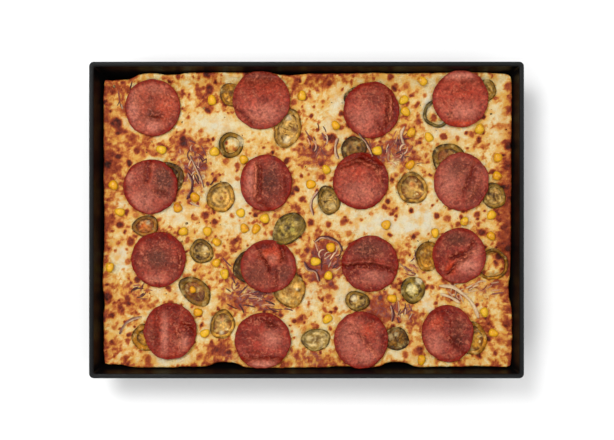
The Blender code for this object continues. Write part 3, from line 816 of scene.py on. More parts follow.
class Lattice:
    """Square lattice over the food, on which heights and colours are worked out."""

    STEP = 0.5
    HALF = (184.0, 134.0)

    def __init__(self) -> None:
        """Lay out the lattice's lines and points."""
        self.lines = [np.arange(-half, half + self.STEP / 2, self.STEP) for half in self.HALF]
        self.x, self.y = np.meshgrid(*self.lines, indexing="ij")

    def read(self, values: Array, x: Array, y: Array) -> Array:
        """Value at each place, blended between the four lattice points round it."""
        return sampled(values, (x + self.HALF[0]) / self.STEP, (y + self.HALF[1]) / self.STEP)

    def window(self, x: float, y: float, reach: float) -> tuple:
        """Index slices of the lattice points within a square reach of a place.

        Args:
            x: places in X, in millimetres.
            y: places in Y, in millimetres.
            reach: half side of the square.

        Returns:
            A slice for each axis.
        """
        slices = []
        for value, half, lines in zip((x, y), self.HALF, self.lines):
            low = int(max(0, (value - reach + half) / self.STEP))
            high = int(min(len(lines), (value + reach + half) / self.STEP + 2))
            slices.append(slice(low, max(high, low + 1)))
        return tuple(slices)


def blurred(values: Array, width: float) -> Array:
    """Blur by a bell curve of a width in cells, along one axis and then the other.

    Args:
        values: a grid.
        width: width of the bell in cells.

    Returns:
        The blurred grid.
    """
    reach = int(math.ceil(width * 3))
    bell = np.exp(-0.5 * (np.arange(-reach, reach + 1) / width) ** 2)
    bell /= bell.sum()
    for axis in (0, 1):
        wide = np.pad(values, [(reach, reach) if i == axis else (0, 0) for i in (0, 1)], "edge")
        total = 0.0
        size = values.shape[axis]
        for shift, weight in enumerate(bell):
            cut = [slice(None), slice(None)]
            cut[axis] = slice(shift, shift + size)
            total = total + weight * wide[tuple(cut)]
        values = total
    return values


def draped(obstacle: Array, passes: int, stiff: float) -> Array:
    """Sheet laid over an obstacle.

    Each pass takes every height to the mean of its four neighbours, but never under the
    obstacle. The sheet is then blurred, because meat is stiff, and raised where it sinks in.

    Args:
        obstacle: heights under the sheet.
        passes: how often it is levelled.
        stiff: width of the blur in cells.

    Returns:
        Heights of the sheet.
    """
    sheet = obstacle.copy()
    for _ in range(passes):
        wide = np.pad(sheet, 1, mode="edge")
        mean = (wide[:-2, 1:-1] + wide[2:, 1:-1] + wide[1:-1, :-2] + wide[1:-1, 2:]) / 4
        sheet = np.maximum(obstacle, mean)
    for _ in range(3):
        sheet = blurred(sheet, stiff)
        sheet = sheet + 1.15 * blurred(np.maximum(obstacle - sheet, 0), stiff / 2)
    return sheet


# Tables of what the photograph shows


class Cut(Enum):
    """How a pepper slice was cut."""

    RING = "ring"
    HALVES = "halves"
    SOLID = "solid"


class Filling(Enum):
    """What shows in the middle of a pepper slice."""

    CHEESE = "cheese"
    MEMBRANE = "membrane"
    SEEDS = "seeds"
    RINGS = "rings"
    VEINS = "veins"


class Tone(Enum):
    """Colours of a pickled slice: skin, flesh, membrane and the heart of the membrane."""

    OLIVE = ((62, 44, 2), (150, 106, 26), (222, 174, 88), (96, 52, 8))
    DARK = ((42, 24, 2), (102, 62, 12), (160, 108, 40), (52, 22, 4))
    OCHRE = ((102, 62, 4), (206, 146, 44), (240, 186, 96), (140, 74, 16))
    GOLD = ((92, 56, 2), (188, 120, 12), (226, 160, 52), (116, 58, 4))
    GREY = ((66, 52, 14), (146, 116, 48), (216, 182, 112), (88, 58, 18))
    LEAF = ((56, 40, 2), (138, 104, 24), (218, 180, 78), (70, 48, 4))
    PALE = ((84, 60, 10), (180, 144, 64), (240, 206, 136), (128, 86, 32))
    RUST = ((84, 52, 4), (164, 106, 30), (212, 124, 52), (132, 54, 12))


DARK_SPOT = (48, 22, 8)
RED_SPOT = (132, 40, 16)
# Pale spot colour: partly pale seed and pith, partly painted highlights.
WHITE_SPOT = (240, 220, 172)


@dataclass(frozen=True)
class PepperSlice:
    """One slice of pickled pepper, placed by its node's box.

    Spots are (x, y, radius, colour) in millimetres from its middle. The slice is darker towards
    its dark side, an angle in degrees.
    """

    number: int
    half: tuple
    turn: float
    cut: Cut
    tone: Tone
    filling: Filling
    hole: float
    spots: tuple = ()
    seeds: int = 0
    dark_side: float = 135.0
    lean: tuple = (0.0, 0.0)

    @property
    def node(self) -> str:
        """Name of the slice's CAD node."""
        return f"jalapeno_{self.number:02d}"


OLIVE, DARK, OCHRE, GOLD, GREY, LEAF, PALE, RUST = Tone
RING, HALVES, SOLID = Cut
CHEESE, MEMBRANE, SEEDS, RINGS, VEINS = Filling
# Values of each PepperSlice, in the order of its fields, and of each SausageSlice further on
PEPPERS = tuple(PepperSlice(*values) for values in (
    (1, (10.8, 11.2), 20, RING, OLIVE, CHEESE, .62, ((9.5, 4, 5, WHITE_SPOT),), 0, 190,
     (-.24, .05)),
    (2, (12.5, 12.8), 0, HALVES, OCHRE, RINGS, .74, ((.5, -1, 1.8, RED_SPOT),
     (4, 4, 1.2, RED_SPOT))),
    (3, (10.8, 18.2), -15, HALVES, OCHRE, VEINS, .76, ((5.6, -1.5, 3.2, (104, 46, 28)),
     (-1, -10, 3.4, WHITE_SPOT), (1, 9, 3, WHITE_SPOT))),
    (4, (11.2, 11.2), 40, SOLID, DARK, RINGS, .8, ((4, 1, 1.6, DARK_SPOT),
     (-2, 5, 2.5, (150, 104, 50)))),
    (5, (10, 12.4), 10, RING, OLIVE, VEINS, .72, ((3, -5, 3.6, (222, 190, 124)),
     (-1, 3, 2.6, (186, 150, 84)))),
    (6, (13.2, 13.7), 70, HALVES, OCHRE, SEEDS, .76, ((8.2, 1.6, 2.2, DARK_SPOT),
     (-4.5, -9.5, 1.8, DARK_SPOT), (0, 3, 3, (206, 116, 50)), (-2, -5, 3.6, (198, 150, 64))), 5),
    (7, (14.7, 14.3), 30, RING, OLIVE, SEEDS, .66, ((-4, 3, 7, (156, 78, 32)),
     (-2, 7, 1.8, DARK_SPOT)), 7),
    (8, (9.9, 11.2), 0, SOLID, OLIVE, SEEDS, .72, ((-4, 2, 2, DARK_SPOT),
     (2, 4, 2.2, (206, 150, 70))), 6),
    (9, (11.2, 9.4), 5, RING, RUST, MEMBRANE, .68, ((2.4, 2.8, 2, WHITE_SPOT),
     (-2.5, 0, 2.4, (206, 90, 20)))),
    (10, (14.3, 14.7), 60, RING, DARK, MEMBRANE, .72),
    (11, (10.4, 10.4), 80, HALVES, OLIVE, SEEDS, .72, ((-4.2, .5, 1.8, DARK_SPOT),
     (-3, -4.2, 1.8, DARK_SPOT), (3, 2.5, 2.6, (222, 196, 140))), 3),
    (12, (15.4, 10.8), -45, RING, OLIVE, SEEDS, .64, ((-1, 1, 8.5, (150, 66, 14)),
     (3.5, -5.5, 5.5, (96, 34, 24))), 4),
    (13, (14.7, 15.4), 0, SOLID, DARK, MEMBRANE, .8),
    (14, (16.2, 12), 50, SOLID, LEAF, SEEDS, .8, ((-1, 1, 2.2, DARK_SPOT),
     (1.5, 4, 1.6, DARK_SPOT), (3, -1, 2.4, (206, 186, 84)), (7.5, 9, 4.2, (74, 50, 16)),
     (-5, -6, 1.8, DARK_SPOT)), 2),
    (15, (14.6, 15), 0, SOLID, OCHRE, SEEDS, .84, ((8.6, -.6, 1.9, DARK_SPOT),
     (6.6, .4, 1.4, WHITE_SPOT), (-2, -9, 3, (238, 206, 124))), 4),
    (16, (11.1, 11.2), 10, RING, LEAF, MEMBRANE, .62, ((6.4, 0, 2.2, DARK_SPOT),
     (-1, 1, 4.6, (240, 222, 160)), (5, 8, 3.4, WHITE_SPOT)), 0, 190),
    (17, (10.8, 13.3), 0, SOLID, GOLD, MEMBRANE, .82),
    (18, (13.4, 13), 25, RING, GOLD, CHEESE, .78, (), 0, 135, (.02, .1)),
    (19, (11.5, 12), 70, RING, GOLD, MEMBRANE, .6),
    (20, (10.8, 12.5), -5, RING, OCHRE, SEEDS, .74, ((4.2, 3.6, 2, (96, 54, 12)),
     (0, 4, 1.6, (226, 150, 84)), (-.5, -7, 2, WHITE_SPOT)), 3),
    (21, (12.4, 9.8), 0, SOLID, PALE, MEMBRANE, .84),
    (22, (11.2, 8.2), -8, HALVES, OLIVE, MEMBRANE, .7, ((3.2, 2.6, 1.8, DARK_SPOT),
     (-2.5, 2, 3, WHITE_SPOT)), 0, -40),
    (23, (10.4, 10.8), 50, HALVES, DARK, VEINS, .82, ((-5, 2, 3, (214, 180, 120)),
     (0, 4, 2.2, (200, 176, 124))), 0, -40),
    (24, (12.4, 14.4), 15, RING, GOLD, SEEDS, .74, (), 4),
    (25, (10.6, 9.8), 0, SOLID, GOLD, MEMBRANE, .8),
    (26, (10.4, 10.2), 30, SOLID, DARK, MEMBRANE, .8),
    (27, (12.4, 12.4), 45, RING, GREY, CHEESE, .78, (), 0, 135, (.06, .08)),
    (28, (10.2, 9.6), 0, SOLID, OLIVE, MEMBRANE, .8),
))
PEPPER_ON_SAUSAGE = 14


class Zone(Enum):
    """Tones of an area of a slice of sausage."""

    BROWN = (112, 54, 38)
    RED = (116, 18, 4)
    PINK = (218, 130, 106)
    BRIGHT = (206, 68, 32)
    DUSK = (80, 28, 16)


@dataclass(frozen=True)
class Fold:
    """A crease in a slice of sausage along a short line, in shares of its half size.

    A ridge is a bell across the line, and a groove one of negative height. A step raises the
    side that lies to the left of the line's direction. Its stain value paints shade that darkens
    the line, and its fleck value paints specks of fat and a highlight along it.
    """

    start_x: float
    start_y: float
    end_x: float
    end_y: float
    height: float
    width: float
    fleck: float = 0.0
    stain: float = 0.0
    step: bool = False


@dataclass(frozen=True)
class SausageSlice:
    """One slice of sausage: colour of the meat, strength of its rim, folds and toned areas.

    Folds hold the values of Fold. An area is (tone, x, y, half size in x, half size in y,
    share), in shares of the half size.
    """

    number: int
    meat: Colour
    rim: float
    folds: tuple = ()
    areas: tuple = ()
    shift: float = 0.0

    @property
    def node(self) -> str:
        """Name of the slice's CAD node."""
        return f"pepperoni_{self.number:02d}"

    def extent(self) -> tuple:
        """Centre and half sizes of the slice, a little further up the edge than its node."""
        (x, y), half = centre_of(self.node)
        return (x, y + self.shift), half


BROWN, RED, PINK, BRIGHT, DUSK = Zone
SAUSAGE = tuple(SausageSlice(*values) for values in (
    (1, (172, 74, 48), .7, ((-.68, .78, -.62, .2, .8, 1, 1), (-.2, -.42, .25, -.42, 1, 2.5),
     (.05, -.25, .4, -.4, -.8, 2.4, 0, .3), (.5, .45, .85, .3, .6, 1.2, .8)),
     ((PINK, -.72, 0, .2, .8, .5), (PINK, 0, -.6, .35, .25, .5), (BROWN, .05, -.25, .28, .2, .9),
     (BRIGHT, .45, -.05, .35, .4, .3), (PINK, .1, .75, .6, .22, .3),
     (RED, .75, -.6, .25, .3, .6))),
    (2, (170, 66, 45), .5, ((-.6, .72, .6, .75, 1.2, 4), (-.85, -.3, -.3, -.8, -.7, 1.8, 0, .7),
     (-.2, -.65, .2, -.8, .6, 1.6, .5)), ((BROWN, 0, .85, .7, .22, .5),
     (BRIGHT, .1, .3, .6, .35, .1), (PINK, .05, -.45, .6, .35, .45)), 2.8),
    (3, (168, 66, 46), .8, ((.5, .82, .7, .35, 1.5, 1.3, .5), (.7, .4, .66, -.35, 1.7, 1.3, .9),
     (.56, .5, .56, -.5, -1.1, 1.3, 0, .7), (.2, -.4, .5, -.85, -.6, 1.5, 0, .5)),
     ((RED, .86, 0, .14, .7, .8), (PINK, -.3, -.3, .5, .5, .35), (BROWN, .1, .55, .5, .3, .35),
     (RED, .45, -.65, .3, .25, .45))),
    (4, (180, 73, 53), .6, ((-.7, .64, .7, .64, 1.5, 2, 0, 0, True),
     (-.8, 0, -.3, -.6, .7, 2, .4)), ((PINK, 0, .88, .8, .2, .75), (BRIGHT, 0, .2, .7, .3, .2),
     (PINK, .1, -.4, .55, .3, .45), (BRIGHT, 0, -.9, .8, .14, .8), (DUSK, -.4, -.55, .14, .1, .5)),
     3.1),
    (5, (164, 70, 50), .9, ((-.1, 1, -.14, .25, -2, 2, 0, 1), (.3, .9, .6, .5, .6, 2.5),
     (.2, -.2, .5, -.3, -.8, 2.2, 0, .4)), ((BROWN, .5, .25, .4, .6, .85),
     (PINK, -.35, -.5, .5, .35, .4), (BROWN, .4, -.25, .2, .14, .5),
     (PINK, -.75, .35, .15, .25, .5))),
    (6, (166, 62, 42), .8, ((-.4, .6, -.42, -.4, 2, 1.8, 1),
     (-.26, .6, -.26, -.6, -1.3, 1.6, 0, .7), (-.26, -.6, .1, -.85, -.8, 1.6, 0, .6),
     (.6, .5, .65, -.5, .8, 2.5)), ((DUSK, .14, .08, .4, .62, .62), (PINK, -.58, .1, .2, .6, .5),
     (RED, .8, -.1, .2, .7, .6), (BROWN, .2, 0, .5, .6, .4))),
    (7, (168, 66, 46), .8, ((-.7, .5, -.1, .7, 1.9, 1.8, 0, .4), (-.1, .7, .5, .45, 1.9, 1.6, .4),
     (.5, .45, .7, 0, 1.6, 1.3, 1), (.1, .85, .75, .5, -1.4, 1.8, 0, .9)),
     ((RED, .3, .82, .7, .2, .85), (RED, .88, .1, .13, .6, .7), (BRIGHT, -.1, .25, .4, .25, .2),
     (PINK, 0, -.4, .6, .4, .35), (DUSK, .6, .7, .3, .2, .5)), 1.8),
    (8, (168, 76, 58), .6, ((.5, .55, .14, -.3, -1.5, 1.8, 0, .8),
     (.68, .2, .28, -.55, 1, 2.4, .4), (-.3, -.4, 0, -.6, .5, 1.8)),
     ((BROWN, -.1, .45, .6, .4, .5), (PINK, -.45, -.1, .35, .5, .35), (RED, .75, -.5, .3, .3, .6),
     (BROWN, .4, -.3, .3, .3, .4))),
    (9, (160, 62, 42), 1, ((.8, .15, .78, -.25, .8, 1.2, .7), (-.3, -.75, .1, -.85, .6, 1.6, .9)),
     ((BROWN, -.05, .05, .5, .4, .8), (RED, 0, .85, .8, .2, .8), (RED, .85, .1, .2, .7, .7),
     (RED, -.88, .1, .14, .6, .6), (PINK, -.1, -.72, .4, .2, .4))),
    (10, (160, 66, 48), .7, ((-.3, .45, .4, .3, 1.8, 3, .3), (.45, .75, .62, .2, -1.2, 1.6, 0, .8),
     (-.4, .7, .08, -.15, -1, 1.4, 0, 1), (.3, -.4, .25, -.95, -.8, 1.5, 0, .6)),
     ((BRIGHT, .12, .45, .34, .34, .9), (PINK, .12, .3, .2, .2, .6), (RED, .6, .7, .3, .22, .8),
     (RED, -.1, .8, .3, .14, .7), (BROWN, -.4, -.3, .5, .5, .5), (BROWN, .6, -.3, .35, .4, .5))),
    (11, (154, 60, 46), .75, ((-.95, .02, 0, .1, 1.6, 1.8), (0, .1, .8, -.1, 1.6, 1.8),
     (-.95, -.12, .1, -.06, -1.3, 1.8, 0, 1), (.1, -.06, .9, -.28, -1.2, 1.8, 0, .9),
     (-.5, -.55, -.1, -.7, .6, 2, .5)), ((BROWN, -.1, .55, .7, .35, .7),
     (PINK, 0, -.45, .5, .25, .4), (RED, -.6, -.35, .35, .25, .6), (RED, .8, .2, .2, .3, .6),
     (RED, 0, -.88, .7, .14, .6))),
    (12, (164, 66, 50), .7, ((-.45, -.6, .2, -.05, 1.4, 1.8, 0, .4),
     (-.3, -.1, .35, .12, -1.3, 1.6, 0, 1), (.35, .12, .55, .45, -1.3, 1.6, 0, .9),
     (-.45, -.65, -.1, -.25, .5, 1.4, 0, .9), (0, -.15, .62, .18, 1, 1.4, .9)),
     ((BRIGHT, -.3, -.42, .25, .25, .8), (RED, .15, .05, .5, .14, .4),
     (PINK, .3, -.35, .4, .25, .7), (BROWN, -.1, .6, .6, .3, .7), (RED, -.75, -.3, .22, .5, .5),
     (PINK, .55, .12, .2, .14, .5))),
    (13, (158, 54, 34), .7, ((.52, .2, .9, -.1, -1.3, 2, 0, .6), (.28, 0, .4, -.55, 1.1, 1.6, 1),
     (.4, -.55, .75, -.7, .8, 1.5, 1), (-.55, .7, -.5, -.5, -.7, 2, 0, .5)),
     ((PINK, -.2, -.1, .14, .8, .5), (RED, .75, .1, .25, .6, .8), (RED, 0, .88, .5, .18, .8),
     (BROWN, -.7, -.2, .2, .5, .4), (PINK, .5, -.4, .2, .25, .6), (RED, .2, .4, .25, .5, .35))),
    (14, (162, 60, 42), .7, ((.7, -.72, -.7, -.74, 1.4, 2, 0, 0, True),
     (-.8, -.6, .8, -.6, -.8, 1.4, 0, .7), (.2, .6, .45, .45, -1, 1.8, 0, .6),
     (-.5, -.4, .2, -.5, -.6, 1.8, 0, .4)), ((PINK, 0, -.9, .7, .18, .75),
     (RED, -.1, .8, .8, .25, .7), (PINK, .3, .05, .3, .3, .5), (DUSK, .3, .55, .2, .14, .6),
     (RED, -.7, .1, .25, .5, .4)), -2.2),
    (15, (166, 68, 50), .7, ((.3, -.3, .6, -.7, .7, 1.6, .9), (-.4, .6, 0, .4, .5, 1.8, .4),
     (-.1, .2, .3, -.1, -.6, 1.8, 0, .5)), ((RED, .5, .8, .5, .2, .8), (PINK, -.3, 0, .5, .6, .35),
     (PINK, .2, -.6, .4, .25, .4), (RED, .85, 0, .16, .6, .6), (BRIGHT, .25, .3, .25, .3, .4)),
     -2.6),
    (16, (160, 62, 46), .7, ((.03, .7, .06, -.45, 1.4, 1.6, 0, 0, True),
     (.1, .4, .1, -.3, -.7, 1.4, 0, .8), (.05, -.2, .7, -.7, -.8, 2, 0, .5),
     (-.6, .5, -.2, 0, .5, 2.2, .3)), ((DUSK, .35, -.25, .35, .3, .6), (RED, -.1, .8, .6, .22, .7),
     (PINK, -.5, -.35, .35, .4, .4), (BRIGHT, -.45, .4, .3, .25, .4),
     (BROWN, .45, .3, .3, .35, .5))),
))


# Soft oval areas of the cheese, as (x, y, half size in x, half size in y, strength)
BROWNER = (
    (-79, 110, 24, 15, .3), (-165, 112, 14, 12, .34), (-160, 60, 13, 18, .3),
    (-135, 64, 22, 8, .26), (-98, 66, 14, 12, .3), (-165, 30, 9, 26, .25), (-10, 95, 16, 14, .16),
    (4, 56, 18, 14, .34), (78, 66, 24, 15, .36), (150, 74, 24, 12, .05), (170, 40, 8, 40, .25),
    (171, -14, 6, 44, .4), (14, -38, 14, 18, .5), (16, -14, 11, 9, .4), (-48, -56, 12, 14, .3),
    (62, -74, 15, 13, .45), (-100, 44, 10, 18, .3), (-38, 2, 12, 10, .3), (-66, -22, 12, 10, .3),
    (-168, 0, 8, 14, .3), (-166, -108, 9, 13, .3), (92, 88, 12, 10, .3), (-16, 30, 8, 16, .3),
    (100, 50, 10, 12, .2), (-155, -68, 22, 16, .22), (-70, -50, 14, 18, .3),
    (-48, -70, 24, 9, .36), (4, -52, 18, 16, .3), (88, -82, 16, 14, .36), (24, 124, 14, 8, .3),
    (-150, -108, 14, 14, .2), (-75, -112, 22, 8, .26), (4, -120, 20, 6, .4),
    (160, -90, 12, 26, .2), (96, -40, 12, 14, .2), (20, -32, 16, 12, .22), (0, 118, 24, 8, .3),
    (-62, 84, 10, 10, -.12), (134, -66, 20, 8, .1), (-80, -75, 10, 8, -.15),
    (-100, -118, 14, 6, -.2), (163, 36, 6, 10, -.2), (-50, 5, 8, 10, .15), (-42, -14, 8, 6, .2),
    (66, -2, 7, 9, .2), (80, -58, 8, 6, .25), (112, -66, 8, 6, .2), (112, -118, 10, 5, .25),
    (172, -114, 5, 8, .3), (24, -100, 6, 8, .2), (-145, 122, 8, 5, .3),
)
PALER = (
    (-158, 84, 10, 7, .9), (-76, 82, 14, 10, .7), (-60, 17, 14, 30, .7), (28, 97, 9, 18, .7),
    (106, 100, 8, 14, .8), (12, 28, 12, 10, .5), (22, 78, 12, 9, .7), (120, 81, 14, 6, .8),
    (166, 84, 8, 16, .6), (104, 10, 12, 12, .8), (138, 2, 14, 8, .7), (32, -66, 8, 14, .9),
    (-116, -118, 20, 6, .9), (-134, 70, 8, 8, .6), (-162, 12, 6, 10, .7), (-160, -36, 8, 10, .6),
    (-74, 116, 10, 8, .5), (-84, -88, 10, 10, .5), (60, -3, 38, 12, .9), (-161, -30, 8, 12, .6),
    (-112, 6, 18, 9, .7), (-108, -58, 10, 10, .6), (2, -64, 12, 14, .6), (130, 74, 18, 8, .6),
    (-140, -80, 14, 7, .4), (96, -4, 16, 8, .9), (-20, -22, 14, 14, .5), (-10, -92, 9, 14, .5),
    (106, -74, 10, 12, .6), (-96, 84, 12, 8, .5), (-160, -114, 10, 8, .5), (-130, -60, 12, 6, .4),
    (80, -114, 18, 6, .5),
)
SAUCY = (
    (-98, 42, 14, 22, 1.1), (-46, -68, 22, 11, 1), (74, 58, 19, 13, 1.1), (154, -62, 14, 7, .55),
    (-62, -52, 8, 12, .55), (20, -34, 14, 12, .5), (84, -84, 12, 10, .5), (96, -44, 9, 12, .5),
    (8, 54, 12, 12, .5), (14, -42, 13, 16, 1), (62, -74, 14, 12, .8), (-24, 10, 8, 8, .5),
    (-144, -56, 12, 12, .4), (4, -118, 16, 6, .6), (-64, -118, 14, 6, .45),
)

SCORCHED = (
    (14, 126, 21, 2.6, .85), (-16, 125, 6, 3.2, .85), (-171, 40, 4.5, 10, .75),
    (-171, 0, 3.5, 5, .8), (-171, -64, 4, 7, .85), (-173, -81, 3, 5, .8), (172, 44, 5, 12, .7),
    (173, 64, 4, 6, .85), (173, 10, 4, 10, .7), (173, -20, 4, 9, .75), (-172, 88, 4, 14, .75),
    (172, -88, 4, 8, .7),
)

# Blisters that stand out, as (x, y, radius, darkness)
BLISTERS = (
    (-85, 125, 4.5, .9), (-106, 66, 5.5, .95), (-165, 84, 6, 1), (-84, 113, 5, .95),
    (-86, 104, 3, .75), (-82, 97, 3, .6), (-88, 4, 4.5, .85), (4, -2, 4, .8), (19, -4, 3.5, .75),
    (32, -2, 4, .7), (122, 1, 4, .7), (173, 63, 4.5, 1), (172, 45, 4, .9), (167, -21, 3.5, .8),
    (171, -89, 4, .9), (-171, -66, 4.5, .95), (19, -67, 4, .6), (-172, 47, 5, 1), (3, 71, 3.4, .8),
    (8, 62, 4.6, .95), (-4, 57, 3.2, .7), (76, 8, 2.6, .6), (14, 37, 3.4, .75),
    (-90, 58, 3.6, .75), (-89, 46, 4.6, .85), (-70, 51, 4.2, .6), (-60, 47, 3.4, .75),
    (-60, 36, 3, .6), (-162, 78, 4, .8), (-151, 72, 4.2, .7), (-139, 65, 3.6, .5),
    (-116, 68, 3.6, .6), (-91, 69, 2.6, .6), (143, 74, 3.4, .65), (131, 71, 2.8, .6),
    (153, 64, 2.8, .65), (172, 96, 2.6, .6), (167, 81, 4, .5), (96, 112, 2.4, .45),
    (175, 105, 2.4, .6), (-161, 95, 3, .5), (-168, 11, 3.4, .6), (-163, -20, 3, .6),
    (-155, -36, 3.4, .55), (-146, -69, 4, .6), (-161, -78, 4, .7), (-135, -125, 4.5, .6),
    (-92, -117, 4, .6), (-76, -114, 4, .65), (-64, -69, 3.5, .5), (-6, -87, 3.6, .5),
    (13, -121, 3.6, .6), (98, -113, 4.4, .8), (167, -104, 4, .6), (153, -61, 4, .5),
    (172, -61, 3.6, .7),
)

KERNELS = (
    (-126, 61), (-97, 20), (-112, 11), (-167, 30), (-80, 59), (25, 82), (84, 104), (86, 94),
    (91, 76), (100, 120), (150, 79), (61, 60), (90, 48), (106, 72), (166, 54), (165, 38), (4, 31),
    (17, 44), (-57, 6), (-36, 1), (-54, -7), (-44, -8), (-86, -10), (-78, -19), (-78, -37),
    (-71, -47), (-170, -41), (-107, -10), (21, -24), (8, -36), (19, -48), (-103, -74), (-94, -80),
    (160, 4), (158, -5), (137, -1), (160, -14), (112, -12), (74, -68), (154, -80), (162, -98),
    (99, -121), (-82, 104), (-162, 7), (-88, -98), (18, -86), (-53, 51), (69, -4), (-4, 108),
)

# Onion strips, as (half thickness, purple share, places along the strip)
ONIONS = (
    (1.5, .85, ((-103, 41), (-99, 33), (-100, 25), (-104, 18))),
    (1.5, .7, ((27, 71), (25, 63), (26, 56), (28, 53))),
    (1.4, .9, ((10, 25), (5, 18), (4, 11), (6, 4))),
    (1.4, .8, ((45, 75), (51, 68), (55, 61), (57, 55))),
    (1.5, .9, ((7, -19), (13, -15), (21, -16), (28, -20), (31, -27))),
    (1.5, .8, ((-2, -36), (1, -42), (8, -45), (11, -53))),
    (1.7, .1, ((115, -57), (126, -58), (134, -63), (141, -69), (146, -77), (149, -85))),
    (1.4, .1, ((116, -64), (125, -67), (133, -72))),
    (1.4, .5, ((-162, -99), (-158, -91), (-151, -86), (-143, -84))),
    (1.1, .65, ((-101, 56), (-96, 46), (-92, 37), (-89, 28))),
    (1.5, .9, ((73, -74), (75, -81), (74, -88))),
    (1.5, .4, ((85, 81), (82, 74), (84, 66))),
)


def centre_of(node: str) -> tuple:
    """Centre and half sizes of a CAD node's box in X and Y, in millimetres."""
    low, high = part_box(node)
    middle, half = (low + high) / 2 / MM, (high - low) / 2 / MM
    return (middle.x, middle.y), (half.x, half.y)


# Cheese


